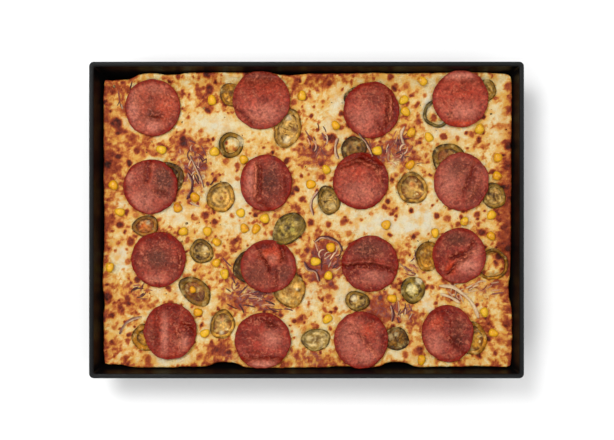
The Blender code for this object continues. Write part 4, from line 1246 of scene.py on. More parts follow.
@dataclass
class Cheese:
    """Melted cheese up to the food's wavy edge, with its colours worked out as fields."""

    edge: FoodEdge
    lattice: Lattice
    cells: tuple = (350, 250)
    base: float = 30.4
    lip: float = 1.6
    lip_width: float = 2.4
    swell: tuple = (24.0, 1.0)
    ripple: tuple = (11.0, 0.5)
    lumps: tuple = (5.5, 0.8)
    grain: tuple = (2.2, 0.3)
    bed_depth: float = 1.7
    collar: float = 0.9
    calm: float = 0.6
    small_spots: int = 1150
    strewn: tuple = (178, 128)
    seed: int = 5
    skirt_rows: int = 4

    def __post_init__(self) -> None:
        """Work out the heights and colours over the lattice."""
        self.noise = Noise(self.seed)
        height, cover = self.heights()
        self.bake, self.milk, self.sauce, relief = self.colours()
        self.height = height + relief * (1 - 0.8 * cover)

    def oval_reach(self, centre: tuple, half: tuple, turn: float = 0.0) -> Array:
        """Distance over the lattice from a point in to an oval's centre, as a share of its size.

        Args:
            centre: the oval's middle.
            half: half sizes in X and Y.
            turn: its turn in degrees.

        Returns:
            The share, which is 1 on the oval.
        """
        along, across = turned(self.lattice.x - centre[0], self.lattice.y - centre[1],
                               math.radians(turn))
        return np.hypot(along / half[0], across / half[1])

    def heights(self) -> tuple:
        """Height without blisters, and how far sausage covers each place.

        The height is the sum of waves, the baked edge, and beds and collars of toppings.

        Returns:
            The height in millimetres and the cover, 0 to 1, over the lattice.
        """
        x, y = self.lattice.x, self.lattice.y
        u, v = self.edge.share(x, y)
        rise = self.edge.climb(x, y, np.clip(u, -1, 1), np.clip(v, -1, 1))
        inward = np.minimum.reduce(self.edge.distances(u, v))
        lip = self.lip * (1 - ease(0, self.lip_width, inward)) ** 2
        bed, cover, collar = np.zeros((3, *x.shape))
        for item in PEPPERS:
            centre = centre_of(item.node)[0]
            share = self.oval_reach(centre, item.half, item.turn)
            mean = sum(item.half) / 2
            if item.number != PEPPER_ON_SAUSAGE:
                bed = np.maximum(bed, 1 - ease(0, 5, (share - 1) * mean))
                collar = np.maximum(collar, np.exp(-(((share - 1) * mean - 1.2) / 1.3) ** 2))
                if item.filling is CHEESE:
                    inside = 1 - ease(0.62, 1.0, share / item.hole)
                    collar = np.maximum(collar, 3.2 * inside)
        for item in SAUSAGE:
            centre, half = item.extent()
            share = self.oval_reach(centre, half)
            cover = np.maximum(cover, 1 - ease(0, 5, (share - 1) * half[0]))
        waves = (self.swell[1] * self.noise.at(x, y, self.swell[0])
                 + self.ripple[1] * self.noise.at(x + 500, y, self.ripple[0]))
        calm = 1 - self.calm * np.maximum(cover, bed)
        lumps = self.lumps[1] * self.noise.layered(x, y + 300, self.lumps[0], 3)
        grain = self.grain[1] * self.noise.layered(x + 90, y, self.grain[0], 2)
        height = (self.edge.cheese_top + rise - lip + waves * calm + lumps + grain
                  - self.bed_depth * bed + self.collar * collar)
        return height, cover

    def patches(self, areas: tuple) -> Array:
        """Sum of soft ovals, each a bell of its strength."""
        total = np.zeros_like(self.lattice.x)
        for x, y, reach_x, reach_y, strength in areas:
            share = self.oval_reach((x, y), (reach_x, reach_y))
            total += strength * np.exp(-share ** 2.4)
        return total

    def spots(self, chance: Array, draw: np.random.Generator) -> list:
        """The listed blisters, and small ones strewn by chance.

        Args:
            chance: how likely a blister is over the lattice, 0 to 1.
            draw: source of random numbers.

        Returns:
            X, Y, radius, darkness and whether it was listed, of each.
        """
        spots = [(*spot, True) for spot in BLISTERS]
        while len(spots) < self.small_spots + len(BLISTERS):
            sx, sy = (draw.uniform(-reach, reach) for reach in self.strewn)
            likely = float(self.lattice.read(chance, np.array(sx), np.array(sy)))
            radius = 1.4 + 3.4 * draw.power(0.7) * draw.uniform(0.4, 1)
            dark = draw.uniform(0.42, 0.86) + 0.06 * likely
            if draw.random() < likely:
                spots.append((sx, sy, radius, dark, False))
        return spots

    def colours(self) -> tuple:
        """Shares of bake, milk and sauce, and the blisters' height.

        Bake is a base with brown and pale areas, mottled by noise, and the darkest of the
        blisters over it. Each blister is a disc with a soft, uneven edge and a faint halo.

        Returns:
            The three shares, 0 to 1, and the height in millimetres, over the lattice.
        """
        x, y = self.lattice.x, self.lattice.y
        draw = np.random.default_rng(self.seed + 1)
        u, v = self.edge.share(x, y)
        left, right, front, back = self.edge.distances(u, v)
        side = (0.42 * np.exp(-(left / 5.0) ** 2) + 0.46 * np.exp(-(right / 6.0) ** 2)
                + 0.3 * np.exp(-(front / 3.5) ** 2) + 0.24 * np.exp(-(back / 3.0) ** 2))
        side = side * (0.8 + 1.1 * self.noise.layered(x + 60, y + 800, 9.0, 3))
        warp_x = 1.9 * self.noise.layered(x, y + 900, 5.0, 3, 0.7)
        warp_y = 1.9 * self.noise.layered(x + 900, y, 5.0, 3, 0.7)
        pale = np.clip(self.patches(PALER), 0, 1)
        area = 1.1 * self.patches(BROWNER) + side - 0.12 * pale
        mottle = self.noise.layered(x + 0.5 * warp_x, y + 0.5 * warp_y, 8.0, 4, 0.62)
        small = self.noise.layered(x + 300 + warp_x, y + warp_y, 4.6, 3, 0.6)
        patchy = self.noise.layered(x + 700, y, 22.0, 2)
        low = 0.02 - 1.1 * area - 0.35 * patchy + 0.4 * pale
        blotch = ease(low, low + 0.5, mottle) * 0.5 + ease(low, low + 0.45, small) * 0.5
        bake = 0.03 + 0.12 * np.clip(area, 0, 1) + (0.5 + 0.2 * small) * blotch + 0.06 * small
        relief = np.zeros_like(x)
        chance = np.clip(0.5 + 0.7 * area - 0.4 * pale, 0.05, 1.0)
        for sx, sy, radius, dark, named in self.spots(chance, draw):
            cut = self.lattice.window(sx, sy, radius * 2.4 + 2)
            dx = x[cut] - sx + warp_x[cut] * min(0.6, radius / 4)
            dy = y[cut] - sy + warp_y[cut] * min(0.6, radius / 4)
            along, across = turned(dx, dy, draw.uniform(0, math.pi))
            distance = np.hypot(along, across * draw.uniform(1.0, 1.2 if named else 1.7)) / radius
            core = 1 - ease(0.5, 1.2, distance)
            halo = np.exp(-(distance / 1.7) ** 2)
            darkness = dark * (0.88 + 0.3 * small[cut]) if named else dark
            bake[cut] = np.maximum(bake[cut], darkness * core)
            bake[cut] = bake[cut] + (0.16 - 0.14 * bake[cut]) * halo * (1 - core)
            dome = np.clip(1 - (distance / 1.15) ** 2, 0, 1) ** 1.5
            relief[cut] = np.maximum(relief[cut], (0.34 + 0.09 * radius) * dome)
        for *middle, reach_x, reach_y, strength in SCORCHED:
            share = self.oval_reach(middle, (reach_x, reach_y))
            burnt = strength * np.exp(-share ** 3) * (0.85 + 0.35 * mottle)
            bake = np.maximum(bake, burnt)
        sauce = np.clip(self.patches(SAUCY), 0, 1)
        sauce = sauce * (0.85 + 0.8 * self.noise.layered(x, y + 400, 6.0, 3, 0.7))
        milk = np.clip(pale * (0.7 + 0.9 * self.noise.layered(x + 50, y + 60, 8.0, 3)), 0, 1)
        return np.clip(bake, 0, 1), milk, np.clip(sauce, 0, 1), relief

    def build(self, material: Material) -> Piece:
        """Lay a grid inside the food's edge, drop a skirt down the wall and close the base.

        A grid point (u, v) takes its height from the lattice at its place on the cheese's level,
        and then its place at that height, because the wall slopes.

        Args:
            material: finish of the piece.

        Returns:
            The piece.
        """
        cells_x, cells_y = self.cells
        u, v = np.meshgrid(np.linspace(-1, 1, cells_x + 1), np.linspace(-1, 1, cells_y + 1),
                           indexing="ij")
        flat_x, flat_y = self.edge.place(u, v, np.full_like(u, self.edge.cheese_top))
        height = self.lattice.read(self.height, flat_x, flat_y)
        x, y = self.edge.place(u, v, height)
        top = np.stack([x, y, height], axis=-1)
        number = np.arange(u.size).reshape(u.shape)
        rim = np.concatenate([number[:-1, 0], number[-1, :-1], number[:0:-1, -1], number[0, :0:-1]])
        rim_u, rim_v, rim_z = (values.ravel()[rim] for values in (u, v, height))
        z = rim_z + (self.base - rim_z) * np.linspace(0, 1, self.skirt_rows + 1)[1:, None]
        skirt_x, skirt_y = self.edge.place(rim_u[None], rim_v[None], z)
        wrinkle = 0.35 * (self.noise.layered(skirt_x + skirt_y, z * 2, 5.0, 3) + 1) / 2
        skirt = np.stack([skirt_x - rim_u * wrinkle, skirt_y - rim_v * wrinkle, z], axis=-1)
        side = self.noise.layered(skirt_x + skirt_y, z, 9.0, 3, 0.7)
        browned = np.clip(0.72 + 0.3 * side, 0.3, 1).ravel()
        values = {name: np.concatenate([self.lattice.read(held, flat_x, flat_y).ravel(), below])
                  for name, held, below in (("bake", self.bake, browned),
                                            ("milk", self.milk, 0 * browned),
                                            ("sauce", self.sauce, 0 * browned))}
        points = np.concatenate([top.reshape(-1, 3), skirt.reshape(-1, 3)])
        shell = Shell(points, self.faces(number, rim), values)
        return make_piece("cheese_melt", shell, material, ("cheese",))

    def faces(self, number: Array, rim: Array) -> list:
        """Faces of the top, the skirt and the base, all pointing out of the cheese.

        The rim runs anticlockwise seen from above, so a wall face that goes along the rim and
        then down points outwards, and the top's faces go from X to Y.

        Args:
            number: numbers of the top's points.
            rim: those round its edge.

        Returns:
            Lists of point numbers, four for each face but the base.
        """
        start, count = number.size, len(rim)
        below = start + np.arange(count)
        wall = np.stack([rim, below, np.roll(below, -1), np.roll(rim, -1)], axis=1).tolist()
        top, lower = ([[a, d, c, b] for a, b, c, d in faces]
                      for faces in (quads(*number.shape, False),
                                    quads(self.skirt_rows, count, True, start)))
        last = start + (self.skirt_rows - 1) * count
        return top + wall + lower + [list(range(last + count - 1, last - 1, -1))]


# Toppings


@dataclass
class Laid:
    """The lattice's height of everything laid so far."""

    lattice: Lattice
    top: Array
    covered: Array

    def height(self, x: Array, y: Array) -> Array:
        """Height of the top at each place."""
        return self.lattice.read(self.top, x, y)

    def raise_to(self, cut: tuple, height: Array, where: Array) -> None:
        """Raise the heights in a window to a topping's own, where it lies."""
        self.top[cut] = np.where(where, np.maximum(self.top[cut], height), self.top[cut])
        self.covered[cut] = np.maximum(self.covered[cut], where)

    def plane(self, x: float, y: float, reach: float) -> tuple:
        """Height and slopes of the plane that fits the ground round a place best.

        Args:
            x: places in X, in millimetres.
            y: places in Y, in millimetres.
            reach: how far round the place counts.

        Returns:
            Height and two slopes.
        """
        cut = self.lattice.window(x, y, reach)
        dx, dy = self.lattice.x[cut] - x, self.lattice.y[cut] - y
        near = np.hypot(dx, dy) < reach
        table = np.stack([np.ones(near.sum()), dx[near], dy[near]], axis=1)
        return tuple(np.linalg.lstsq(table, self.top[cut][near], rcond=None)[0])


@dataclass
class PepperMaker:
    """Builds slices of pickled pepper: a wall of flesh, a core with its membranes, and seeds."""

    laid: Laid
    thickness: float = 3.0
    around: int = 72
    section: int = 16
    rings: int = 16
    uneven: tuple = (0.04, 0.035, 0.02)
    sink: float = 0.35
    seed: int = 31
    seed_half: tuple = (1.4, 1.05, 0.45)
    seed_colours: tuple = ((178, 116, 48), (238, 206, 138))

    def __post_init__(self) -> None:
        """Start the random draws."""
        self.draw = np.random.default_rng(self.seed)
        self.noise = Noise(self.seed)

    def outline(self, angle: Array, phases: tuple) -> Array:
        """Radius factor of the outline: 1 with waves of two, three and five."""
        return (1 + self.uneven[0] * np.cos(2 * angle + phases[0])
                + self.uneven[1] * np.cos(3 * angle + phases[1])
                + self.uneven[2] * np.cos(5 * angle + phases[0] + phases[1]))

    def set_down(self, item: PepperSlice, local: Array, plane: tuple, centre: tuple) -> Array:
        """Turn a slice, lay it on its plane and press it a little into the cheese."""
        dx, dy = turned(local[..., 0], local[..., 1], -math.radians(item.turn))
        slope_x, slope_y = plane[1] + item.lean[0], plane[2] + item.lean[1]
        z = plane[0] + slope_x * dx + slope_y * dy + local[..., 2] - self.sink
        return np.stack([centre[0] + dx, centre[1] + dy, z], axis=-1)

    def wall(self, item: PepperSlice, phases: tuple) -> Shell:
        """Ring of flesh and skin: a rounded section carried round the outline.

        A point's share of the radius is c + w |cos s|^0.6 and its height h/2 + h/2 |sin s|^0.6,
        both with the sign of the wave, which gives a section with soft corners.

        Args:
            item: the values of the slice.
            phases: shifts of the outline's waves, in radians.

        Returns:
            The ring, lying at the origin.
        """
        angle, turn = circle(self.around)[None, :], circle(self.section)[:, None]
        lumps = self.noise.ringed(angle, 9, item.number * 31, 5.0)
        hole = item.hole * (1 + 0.05 * lumps)
        middle, half = (1 + hole) / 2, (1 - hole) / 2
        share = middle + half * superpower(np.cos(turn), 0.6)
        rise = superpower(np.sin(turn), 0.6)
        height = self.thickness * (1 + 0.1 * lumps)
        z = height / 2 * (1 + rise) + 0.12 * self.noise.at(angle * 12, share * 9, 1.5)
        radius = share * self.outline(angle, phases)
        local = np.stack([radius * np.cos(angle) * item.half[0],
                          radius * np.sin(angle) * item.half[1], z + 0 * angle], axis=-1)
        skin, flesh, pith, _ = (surface(colour) for colour in item.tone.value)
        inner = 1 - ease(hole, hole + 0.08, share)
        streak = 0.5 + 0.5 * self.noise.layered(angle * 14 + item.number, share * 4, 1.6, 3)
        patch = self.noise.ringed(angle, 3, item.number * 7, 1.6)
        rind = ease(0.74, 0.98, share + 0.12 * (streak - 0.5)) * np.clip(0.8 + 0.9 * patch, 0.3, 1)
        tint = blend(flesh * np.ones(3), flesh * 1.35, streak * 0.7)
        tint = blend(tint, pith, inner * 0.5)
        # Painted shade: a dark line round the hole's edge where cheese fills it.
        seam = np.exp(-((share - hole - 0.02) / 0.045) ** 2) * (item.filling is CHEESE)
        tint = blend(tint, skin, np.clip(np.maximum(rind, seam), 0, 1))
        # Painted shade: the wall's section is darker towards its bottom.
        tint = tint * (0.8 + 0.2 * (rise + 1) / 2)[..., None]
        faces = (np.array(quads(self.section + 1, self.around, True))
                 % (self.section * self.around)).tolist()
        return Shell(local.reshape(-1, 3), faces, {"tint": tint.reshape(-1, 3)}).outward()

    def core(self, item: PepperSlice, phases: tuple) -> Shell:
        """Disc inside the wall, whose height shows chambers between membranes.

        Membranes are bells across lines through the middle, and the placenta a bell round it.

        Args:
            item: the values of the slice.
            phases: shifts of the outline's waves, in radians.

        Returns:
            The disc, lying at the origin.
        """
        angle = circle(self.around // 2)[None, :]
        reach = np.linspace(0.02, 1, self.rings)[:, None]
        lumps = self.noise.ringed(angle, reach * 9, item.number * 17, 3.0)
        radius = reach * item.hole * 1.04 * self.outline(angle, phases)
        x = radius * np.cos(angle) * item.half[0]
        y = radius * np.sin(angle) * item.half[1]
        level, ridge, lines = {SOLID: (0.78, 0.3, 3), HALVES: (0.4, 1.5, 1),
                               RING: (0.3, 1.1, 2)}[item.cut]
        start = self.draw.uniform(0, math.pi) if item.cut is not HALVES else math.pi / 2
        member = np.zeros_like(radius)
        for line in range(lines):
            way = start + math.pi * line / lines + self.draw.uniform(-0.2, 0.2)
            across = x * math.sin(way) - y * math.cos(way)
            member = np.maximum(member, np.exp(-(across / 1.1) ** 2))
        middle = np.exp(-(np.hypot(x, y) / (0.22 * sum(item.half))) ** 2)
        member = np.maximum(member, middle)
        z = self.thickness * level + ridge * member + 0.3 * lumps + 0.4 * ease(0.8, 1.0, reach)
        skin, flesh, pith, heart = (surface(colour) for colour in item.tone.value)
        tint = blend(heart * np.ones(3), pith, np.clip(1.3 * member + 0.8 * lumps, 0, 1))
        if item.cut is SOLID:
            tint = blend(flesh * np.ones(3), pith, np.clip(0.4 + 1.8 * lumps, 0, 1))
            tint = blend(tint, heart, np.clip(0.7 * middle - 0.6 * lumps, 0, 1))
        if item.filling is RINGS:
            wave = 0.5 + 0.5 * np.cos(reach * 15.0 + 1.2 * lumps)
            tint = blend(pith * np.ones(3), flesh * 0.7, np.clip(wave * (0.8 + 0.6 * lumps), 0, 1))
        if item.filling is VEINS:
            stripe = self.noise.layered(x * 0.35 + item.number * 9, y * 1.6, 1.6, 3)
            tint = blend(flesh * np.ones(3), pith, np.clip(0.5 + 1.4 * stripe, 0, 1))
            tint = blend(tint, heart * 0.4, np.clip(-0.1 - 2.4 * stripe, 0, 1))
            z = z + 0.6 * stripe
        # Painted shade: a dark line at the core's edge, against the wall.
        band = np.exp(-((reach - 0.9) / 0.1) ** 2) * (0.5 + 0.9 * lumps)
        tint = blend(tint, skin, np.clip(band, 0, 1))
        top = np.stack([x, y, z], axis=-1)
        low = np.stack([x, y, 0.4 + 0 * x], axis=-1)
        grid = np.concatenate([top, low[::-1]])
        # Painted shade: the core's underside is darker.
        return capped(grid, {"tint": np.concatenate([tint, tint[::-1] * 0.6])})

    def seeds(self, item: PepperSlice) -> Shell:
        """Flat seeds on the core: squashed balls at drawn places and turns."""
        count = item.seeds
        angle = self.draw.uniform(0, 2 * math.pi, count)
        reach = self.draw.uniform(0.25, 0.8, count) * item.hole
        centre = np.stack([reach * np.cos(angle) * item.half[0],
                           reach * np.sin(angle) * item.half[1],
                           np.full(count, self.thickness * 0.62)], axis=1)
        turn = self.draw.uniform(0, math.pi, count)
        tan, pale = (surface(colour) for colour in self.seed_colours)
        tint = blend(tan * np.ones(3), pale, self.draw.uniform(0.2, 1, count))
        return lumps_at(centre, np.tile(self.seed_half, (count, 1)), turn, tint, (5, 8))

    def build(self, item: PepperSlice, material: Material) -> Piece:
        """Make one slice, lay it, and raise the lattice under it.

        Args:
            item: the values of the slice.
            material: finish of the piece.

        Returns:
            The piece.
        """
        centre = centre_of(item.node)[0]
        phases = tuple(self.draw.uniform(0, 6, 2))
        reach = sum(item.half) / 2
        plane = self.laid.plane(*centre, reach * 0.95)
        parts = [self.wall(item, phases)]
        if item.filling is not CHEESE:
            parts.append(self.core(item, phases))
        if item.seeds:
            parts.append(self.seeds(item))
        shell = join(parts)
        shell.points = self.set_down(item, shell.points, plane, centre)
        x, y = shell.points[:, 0], shell.points[:, 1]
        far = turned(x - centre[0], y - centre[1], math.radians(item.dark_side))[0] / reach
        cloud = self.noise.layered(x, y, 6.0, 2)
        tint = shell.values["tint"]
        tint = tint * np.clip(0.97 - 0.33 * far + 0.5 * cloud, 0.42, 1.5)[:, None]
        # Spots of tone; the pale ones are partly painted highlights.
        for dx, dy, radius, colour in item.spots:
            far = np.hypot(x - centre[0] - dx, y - centre[1] - dy)
            far = far * (1 + 0.3 * self.noise.at(x, y, 2.0))
            tint = blend(tint, surface(colour), 0.8 * (1 - ease(0.4, 1.3, far / radius)))
        shell.values["tint"] = tint
        self.mark(item, plane, centre, phases)
        return make_piece(f"pepper_slice_{item.number:02d}", shell, material,
                          (item.node,))

    def mark(self, item: PepperSlice, plane: tuple, centre: tuple, phases: tuple) -> None:
        """Raise the laid heights to the slice's top.

        Args:
            item: the values of the slice.
            plane: height and two slopes of the ground under the slice.
            centre: middle of the slice in X and Y.
            phases: shifts of the outline's waves, in radians.
        """
        lattice = self.laid.lattice
        cut = lattice.window(*centre, max(item.half) + 2)
        dx, dy = lattice.x[cut] - centre[0], lattice.y[cut] - centre[1]
        along, across = turned(dx, dy, math.radians(item.turn))
        along, across = along / item.half[0], across / item.half[1]
        share = np.hypot(along, across)
        share = share / self.outline(np.arctan2(across, along), phases)
        round_edge = np.clip(1 - share ** 8, 0, 1) ** 0.5
        top = (plane[0] + plane[1] * dx + plane[2] * dy - self.sink
               + self.thickness * (0.4 + 0.6 * round_edge))
        self.laid.raise_to(cut, top, share < 1)


def lumps_at(centres: Array, halves: Array, turns: Array, tints: Array, steps: tuple,
             taper: float = 0.0, square: float = 1.0) -> Shell:
    """Many small closed balls as one shell.

    Args:
        centres: place of each, in rows of three.
        halves: half sizes of each along its own axes.
        turns: turn of each about the vertical, in radians.
        tints: linear colour of each.
        steps: points from pole to pole and round each ball.
        taper: how much narrower a ball is at its far end.
        square: power of the section, under 1 for a squarer ball.

    Returns:
        All of the balls, each closed by its poles.
    """
    rows, columns = steps
    down = np.linspace(0, math.pi, rows + 2)[1:-1]
    about = circle(columns)
    wide = superpower(np.sin(down), square)
    ring = np.stack([
        np.outer(wide, superpower(np.cos(about), square)),
        np.outer(wide, superpower(np.sin(about), square)),
        np.repeat(superpower(np.cos(down), square)[:, None], columns, axis=1)], axis=-1)
    unit = np.concatenate([ring.reshape(-1, 3), [(0, 0, 1.0)], [(0, 0, -1.0)]])
    local = unit[None] * halves[:, None]
    local[..., 1] *= 1 - taper * unit[None, :, 0]
    x, y = turned(local[..., 0], local[..., 1], -turns[:, None])
    points = np.stack([x, y, local[..., 2]], axis=-1) + centres[:, None]
    step = np.arange(columns)
    after = (step + 1) % columns
    top, bottom = rows * columns, rows * columns + 1
    one = [[a, d, c, b] for a, b, c, d in quads(rows, columns, True)]
    one += np.stack([step, after, np.full(columns, top)], axis=1).tolist()
    last = (rows - 1) * columns
    one += np.stack([last + after, last + step, np.full(columns, bottom)], axis=1).tolist()
    size = len(unit)
    faces = [[i + shift for i in face] for shift in range(0, size * len(centres), size)
             for face in one]
    shade = 0.82 + 0.18 * unit[None, :, 2:3]
    tint = np.repeat(tints[:, None], size, axis=1) * shade
    return Shell(points.reshape(-1, 3), faces, {"tint": tint.reshape(-1, 3)})


@dataclass
class SausageMaker:
    """Builds slices of sausage draped over what lies under them."""

    laid: Laid
    thickness: float = 1.7
    around: int = 112
    rings: int = 36
    passes: int = 160
    stiff: float = 1.6
    reach: float = 29.0
    clearance: float = 0.3
    fold_end: float = 0.22
    fold_scale: float = 1.5
    seed: int = 71

    def __post_init__(self) -> None:
        """Start the noise."""
        self.noise = Noise(self.seed)

    def sheet(self, centre: tuple) -> Array:
        """Draped heights on a lattice of 1 mm round a centre."""
        side = np.arange(-self.reach, self.reach + 0.5, 1.0)
        dx, dy = np.meshgrid(side, side, indexing="ij")
        near = [self.laid.height(centre[0] + dx + sx, centre[1] + dy + sy)
                for sx, sy in ((0, 0), (0.5, 0), (-0.5, 0), (0, 0.5), (0, -0.5))]
        return draped(np.maximum.reduce(near), self.passes, self.stiff)

    def lie(self, sheet: Array, x: Array, y: Array, crease: Array) -> Array:
        """Height of the creased sheet at places in millimetres from its middle."""
        return (sampled(sheet, x + self.reach, y + self.reach)
                + np.maximum(crease, -0.9 * self.thickness))

    def creases(self, item: SausageSlice, x: Array, y: Array, size: float) -> tuple:
        """Height, specks of fat with painted highlights, and painted shade of the folds, at points
        in shares of the size.

        Args:
            item: the values of the slice.
            x: shares of the half size in X.
            y: the same in Y.
            size: mean half size in millimetres.

        Returns:
            The height in millimetres, and the specks with painted highlights and the painted shade,
            from 0 to 1.
        """
        total, flecks, stains = np.zeros((3, *x.shape))
        for fold in (Fold(*values) for values in item.folds):
            way_x, way_y = fold.end_x - fold.start_x, fold.end_y - fold.start_y
            length = math.hypot(way_x, way_y)
            along_x, along_y = way_x / length, way_y / length
            px, py = x - fold.start_x, y - fold.start_y
            along = px * along_x + py * along_y
            wobble = 0.06 * self.noise.at(along * 9 + item.number, along * 3, 2.0)
            across = (py * along_x - px * along_y + wobble) * size
            window = (ease(-self.fold_end, 0.04, along)
                      * (1 - ease(length - 0.04, length + self.fold_end, along)))
            if fold.step:
                side = 0.5 * (1 + np.tanh(across / fold.width))
                total += fold.height * side * window * np.exp(-(across / (5 * fold.width)) ** 2)
            else:
                total += fold.height * np.exp(-(across / fold.width) ** 2) * window
            near = np.exp(-(across / fold.width) ** 2) * window
            # Specks of fat and a painted highlight along the fold.
            flecks = np.maximum(flecks, fold.fleck * near)
            # Painted shade in the fold.
            stains = np.maximum(stains, fold.stain * near)
        return total * self.fold_scale, flecks, stains

    def build(self, item: SausageSlice, material: Material) -> Piece:
        """Make one slice as a stack of rings: up the top from its middle, over the edge, back.

        The radius factor wanders by 2 percent, the rim curls up by a little, and the thickness
        closes in a quarter circle at the edge.

        Args:
            item: the values of the slice.
            material: finish of the piece.

        Returns:
            The piece.
        """
        centre, half = item.extent()
        sheet = self.sheet(centre)
        angle = circle(self.around)[None, :]
        inner = np.linspace(0.015, 0.965, self.rings) ** 0.9
        edge = np.linspace(0, math.pi, 7)[1:-1]
        reach = np.concatenate([inner, 0.965 + 0.035 * np.sin(edge), inner[::-3]])[:, None]
        level = np.concatenate([np.ones(self.rings), 0.5 + 0.5 * np.cos(edge),
                                np.zeros(len(inner[::-3]))])[:, None]
        wobble = 1.01 + 0.03 * self.noise.ringed(angle, 4, item.number * 13, 1.6, 2)
        x = reach * wobble * np.cos(angle)
        y = reach * wobble * np.sin(angle)
        size = (half[0] + half[1]) / 2
        mm_x, mm_y = x * half[0], y * half[1]
        crease, flecks, stains = self.creases(item, x, y, size)
        rough = 0.22 * self.noise.layered(mm_x + 60 * item.number, mm_y, 5.0, 3)
        rough = rough + 0.09 * self.noise.layered(mm_x, mm_y + 60 * item.number, 1.8, 2)
        curl = 0.55 * ease(0.8, 1.0, reach) * (0.6 + self.noise.at(
            np.cos(angle) * 3 + item.number, np.sin(angle) * 3, 1.5))
        z = (self.lie(sheet, mm_x, mm_y, crease) + curl + self.clearance
             + level * (self.thickness + rough))
        grid = np.stack([centre[0] + mm_x, centre[1] + mm_y, z], axis=-1)
        values = self.colours(item, x, y, reach + 0 * angle, stains)
        # Specks of fat and painted highlights along the folds, on the top only.
        values["fleck"] = flecks * level
        shell = capped(grid, values)
        self.mark(item, centre, half, sheet)
        return make_piece(f"sausage_slice_{item.number:02d}", shell, material,
                          (item.node,))

    def colours(self, item: SausageSlice, x: Array, y: Array, reach: Array,
                stains: Array) -> dict:
        """Tint and rim of a slice: broad clouds of tone, toned areas, painted shade in folds, a
        dark rim.

        Args:
            item: the values of the slice.
            x: shares of the half size in X.
            y: the same in Y.
            reach: shares of the way to the edge.
            stains: how much painted shade of the folds falls on each point.

        Returns:
            Values of the points by name.
        """
        shift = item.number * 7.3
        cloud = self.noise.layered(x + shift, y, 0.5, 3)
        redder = self.noise.layered(x, y + shift, 0.4, 2)
        tint = surface(item.meat) * np.clip(1 + 0.5 * cloud, 0.4, 1.8)[..., None]
        tint = tint * np.stack([1 + 0.08 * redder, 1 - 0.14 * redder, 1 - 0.18 * redder], axis=-1)
        for zone, zx, zy, wide, high, share in item.areas:
            warp = 0.25 * self.noise.layered(x * 2 + zx, y * 2 + zy + shift, 0.5, 3)
            away = np.hypot((x - zx) / wide, (y - zy) / high) + warp
            spot = np.exp(-np.maximum(away, 0) ** 2.4)
            tint = blend(tint, surface(zone.value), np.clip(spot * share * 1.5, 0, 1))
        # Painted shade: the folds darkened towards deep red.
        tint = blend(tint, surface(RED.value) * 0.8, np.clip(stains * 1.2, 0, 0.95))
        wander = self.noise.layered(x * 2 + shift, y * 2, 1.2, 3)
        rim = 1.25 * item.rim * ease(0.81, 0.98, reach + 0.1 * wander)
        return {"tint": np.clip(tint, 0, 1), "rim": np.clip(rim, 0, 1)}

    def mark(self, item: SausageSlice, centre: tuple, half: tuple, sheet: Array) -> None:
        """Raise the laid heights to the slice's top."""
        lattice = self.laid.lattice
        cut = lattice.window(*centre, max(half) + 1)
        x, y = lattice.x[cut] - centre[0], lattice.y[cut] - centre[1]
        share = np.hypot(x / half[0], y / half[1])
        crease = self.creases(item, x / half[0], y / half[1], sum(half) / 2)[0]
        top = self.lie(sheet, x, y, crease) + self.clearance + self.thickness
        self.laid.raise_to(cut, top, share < 1)


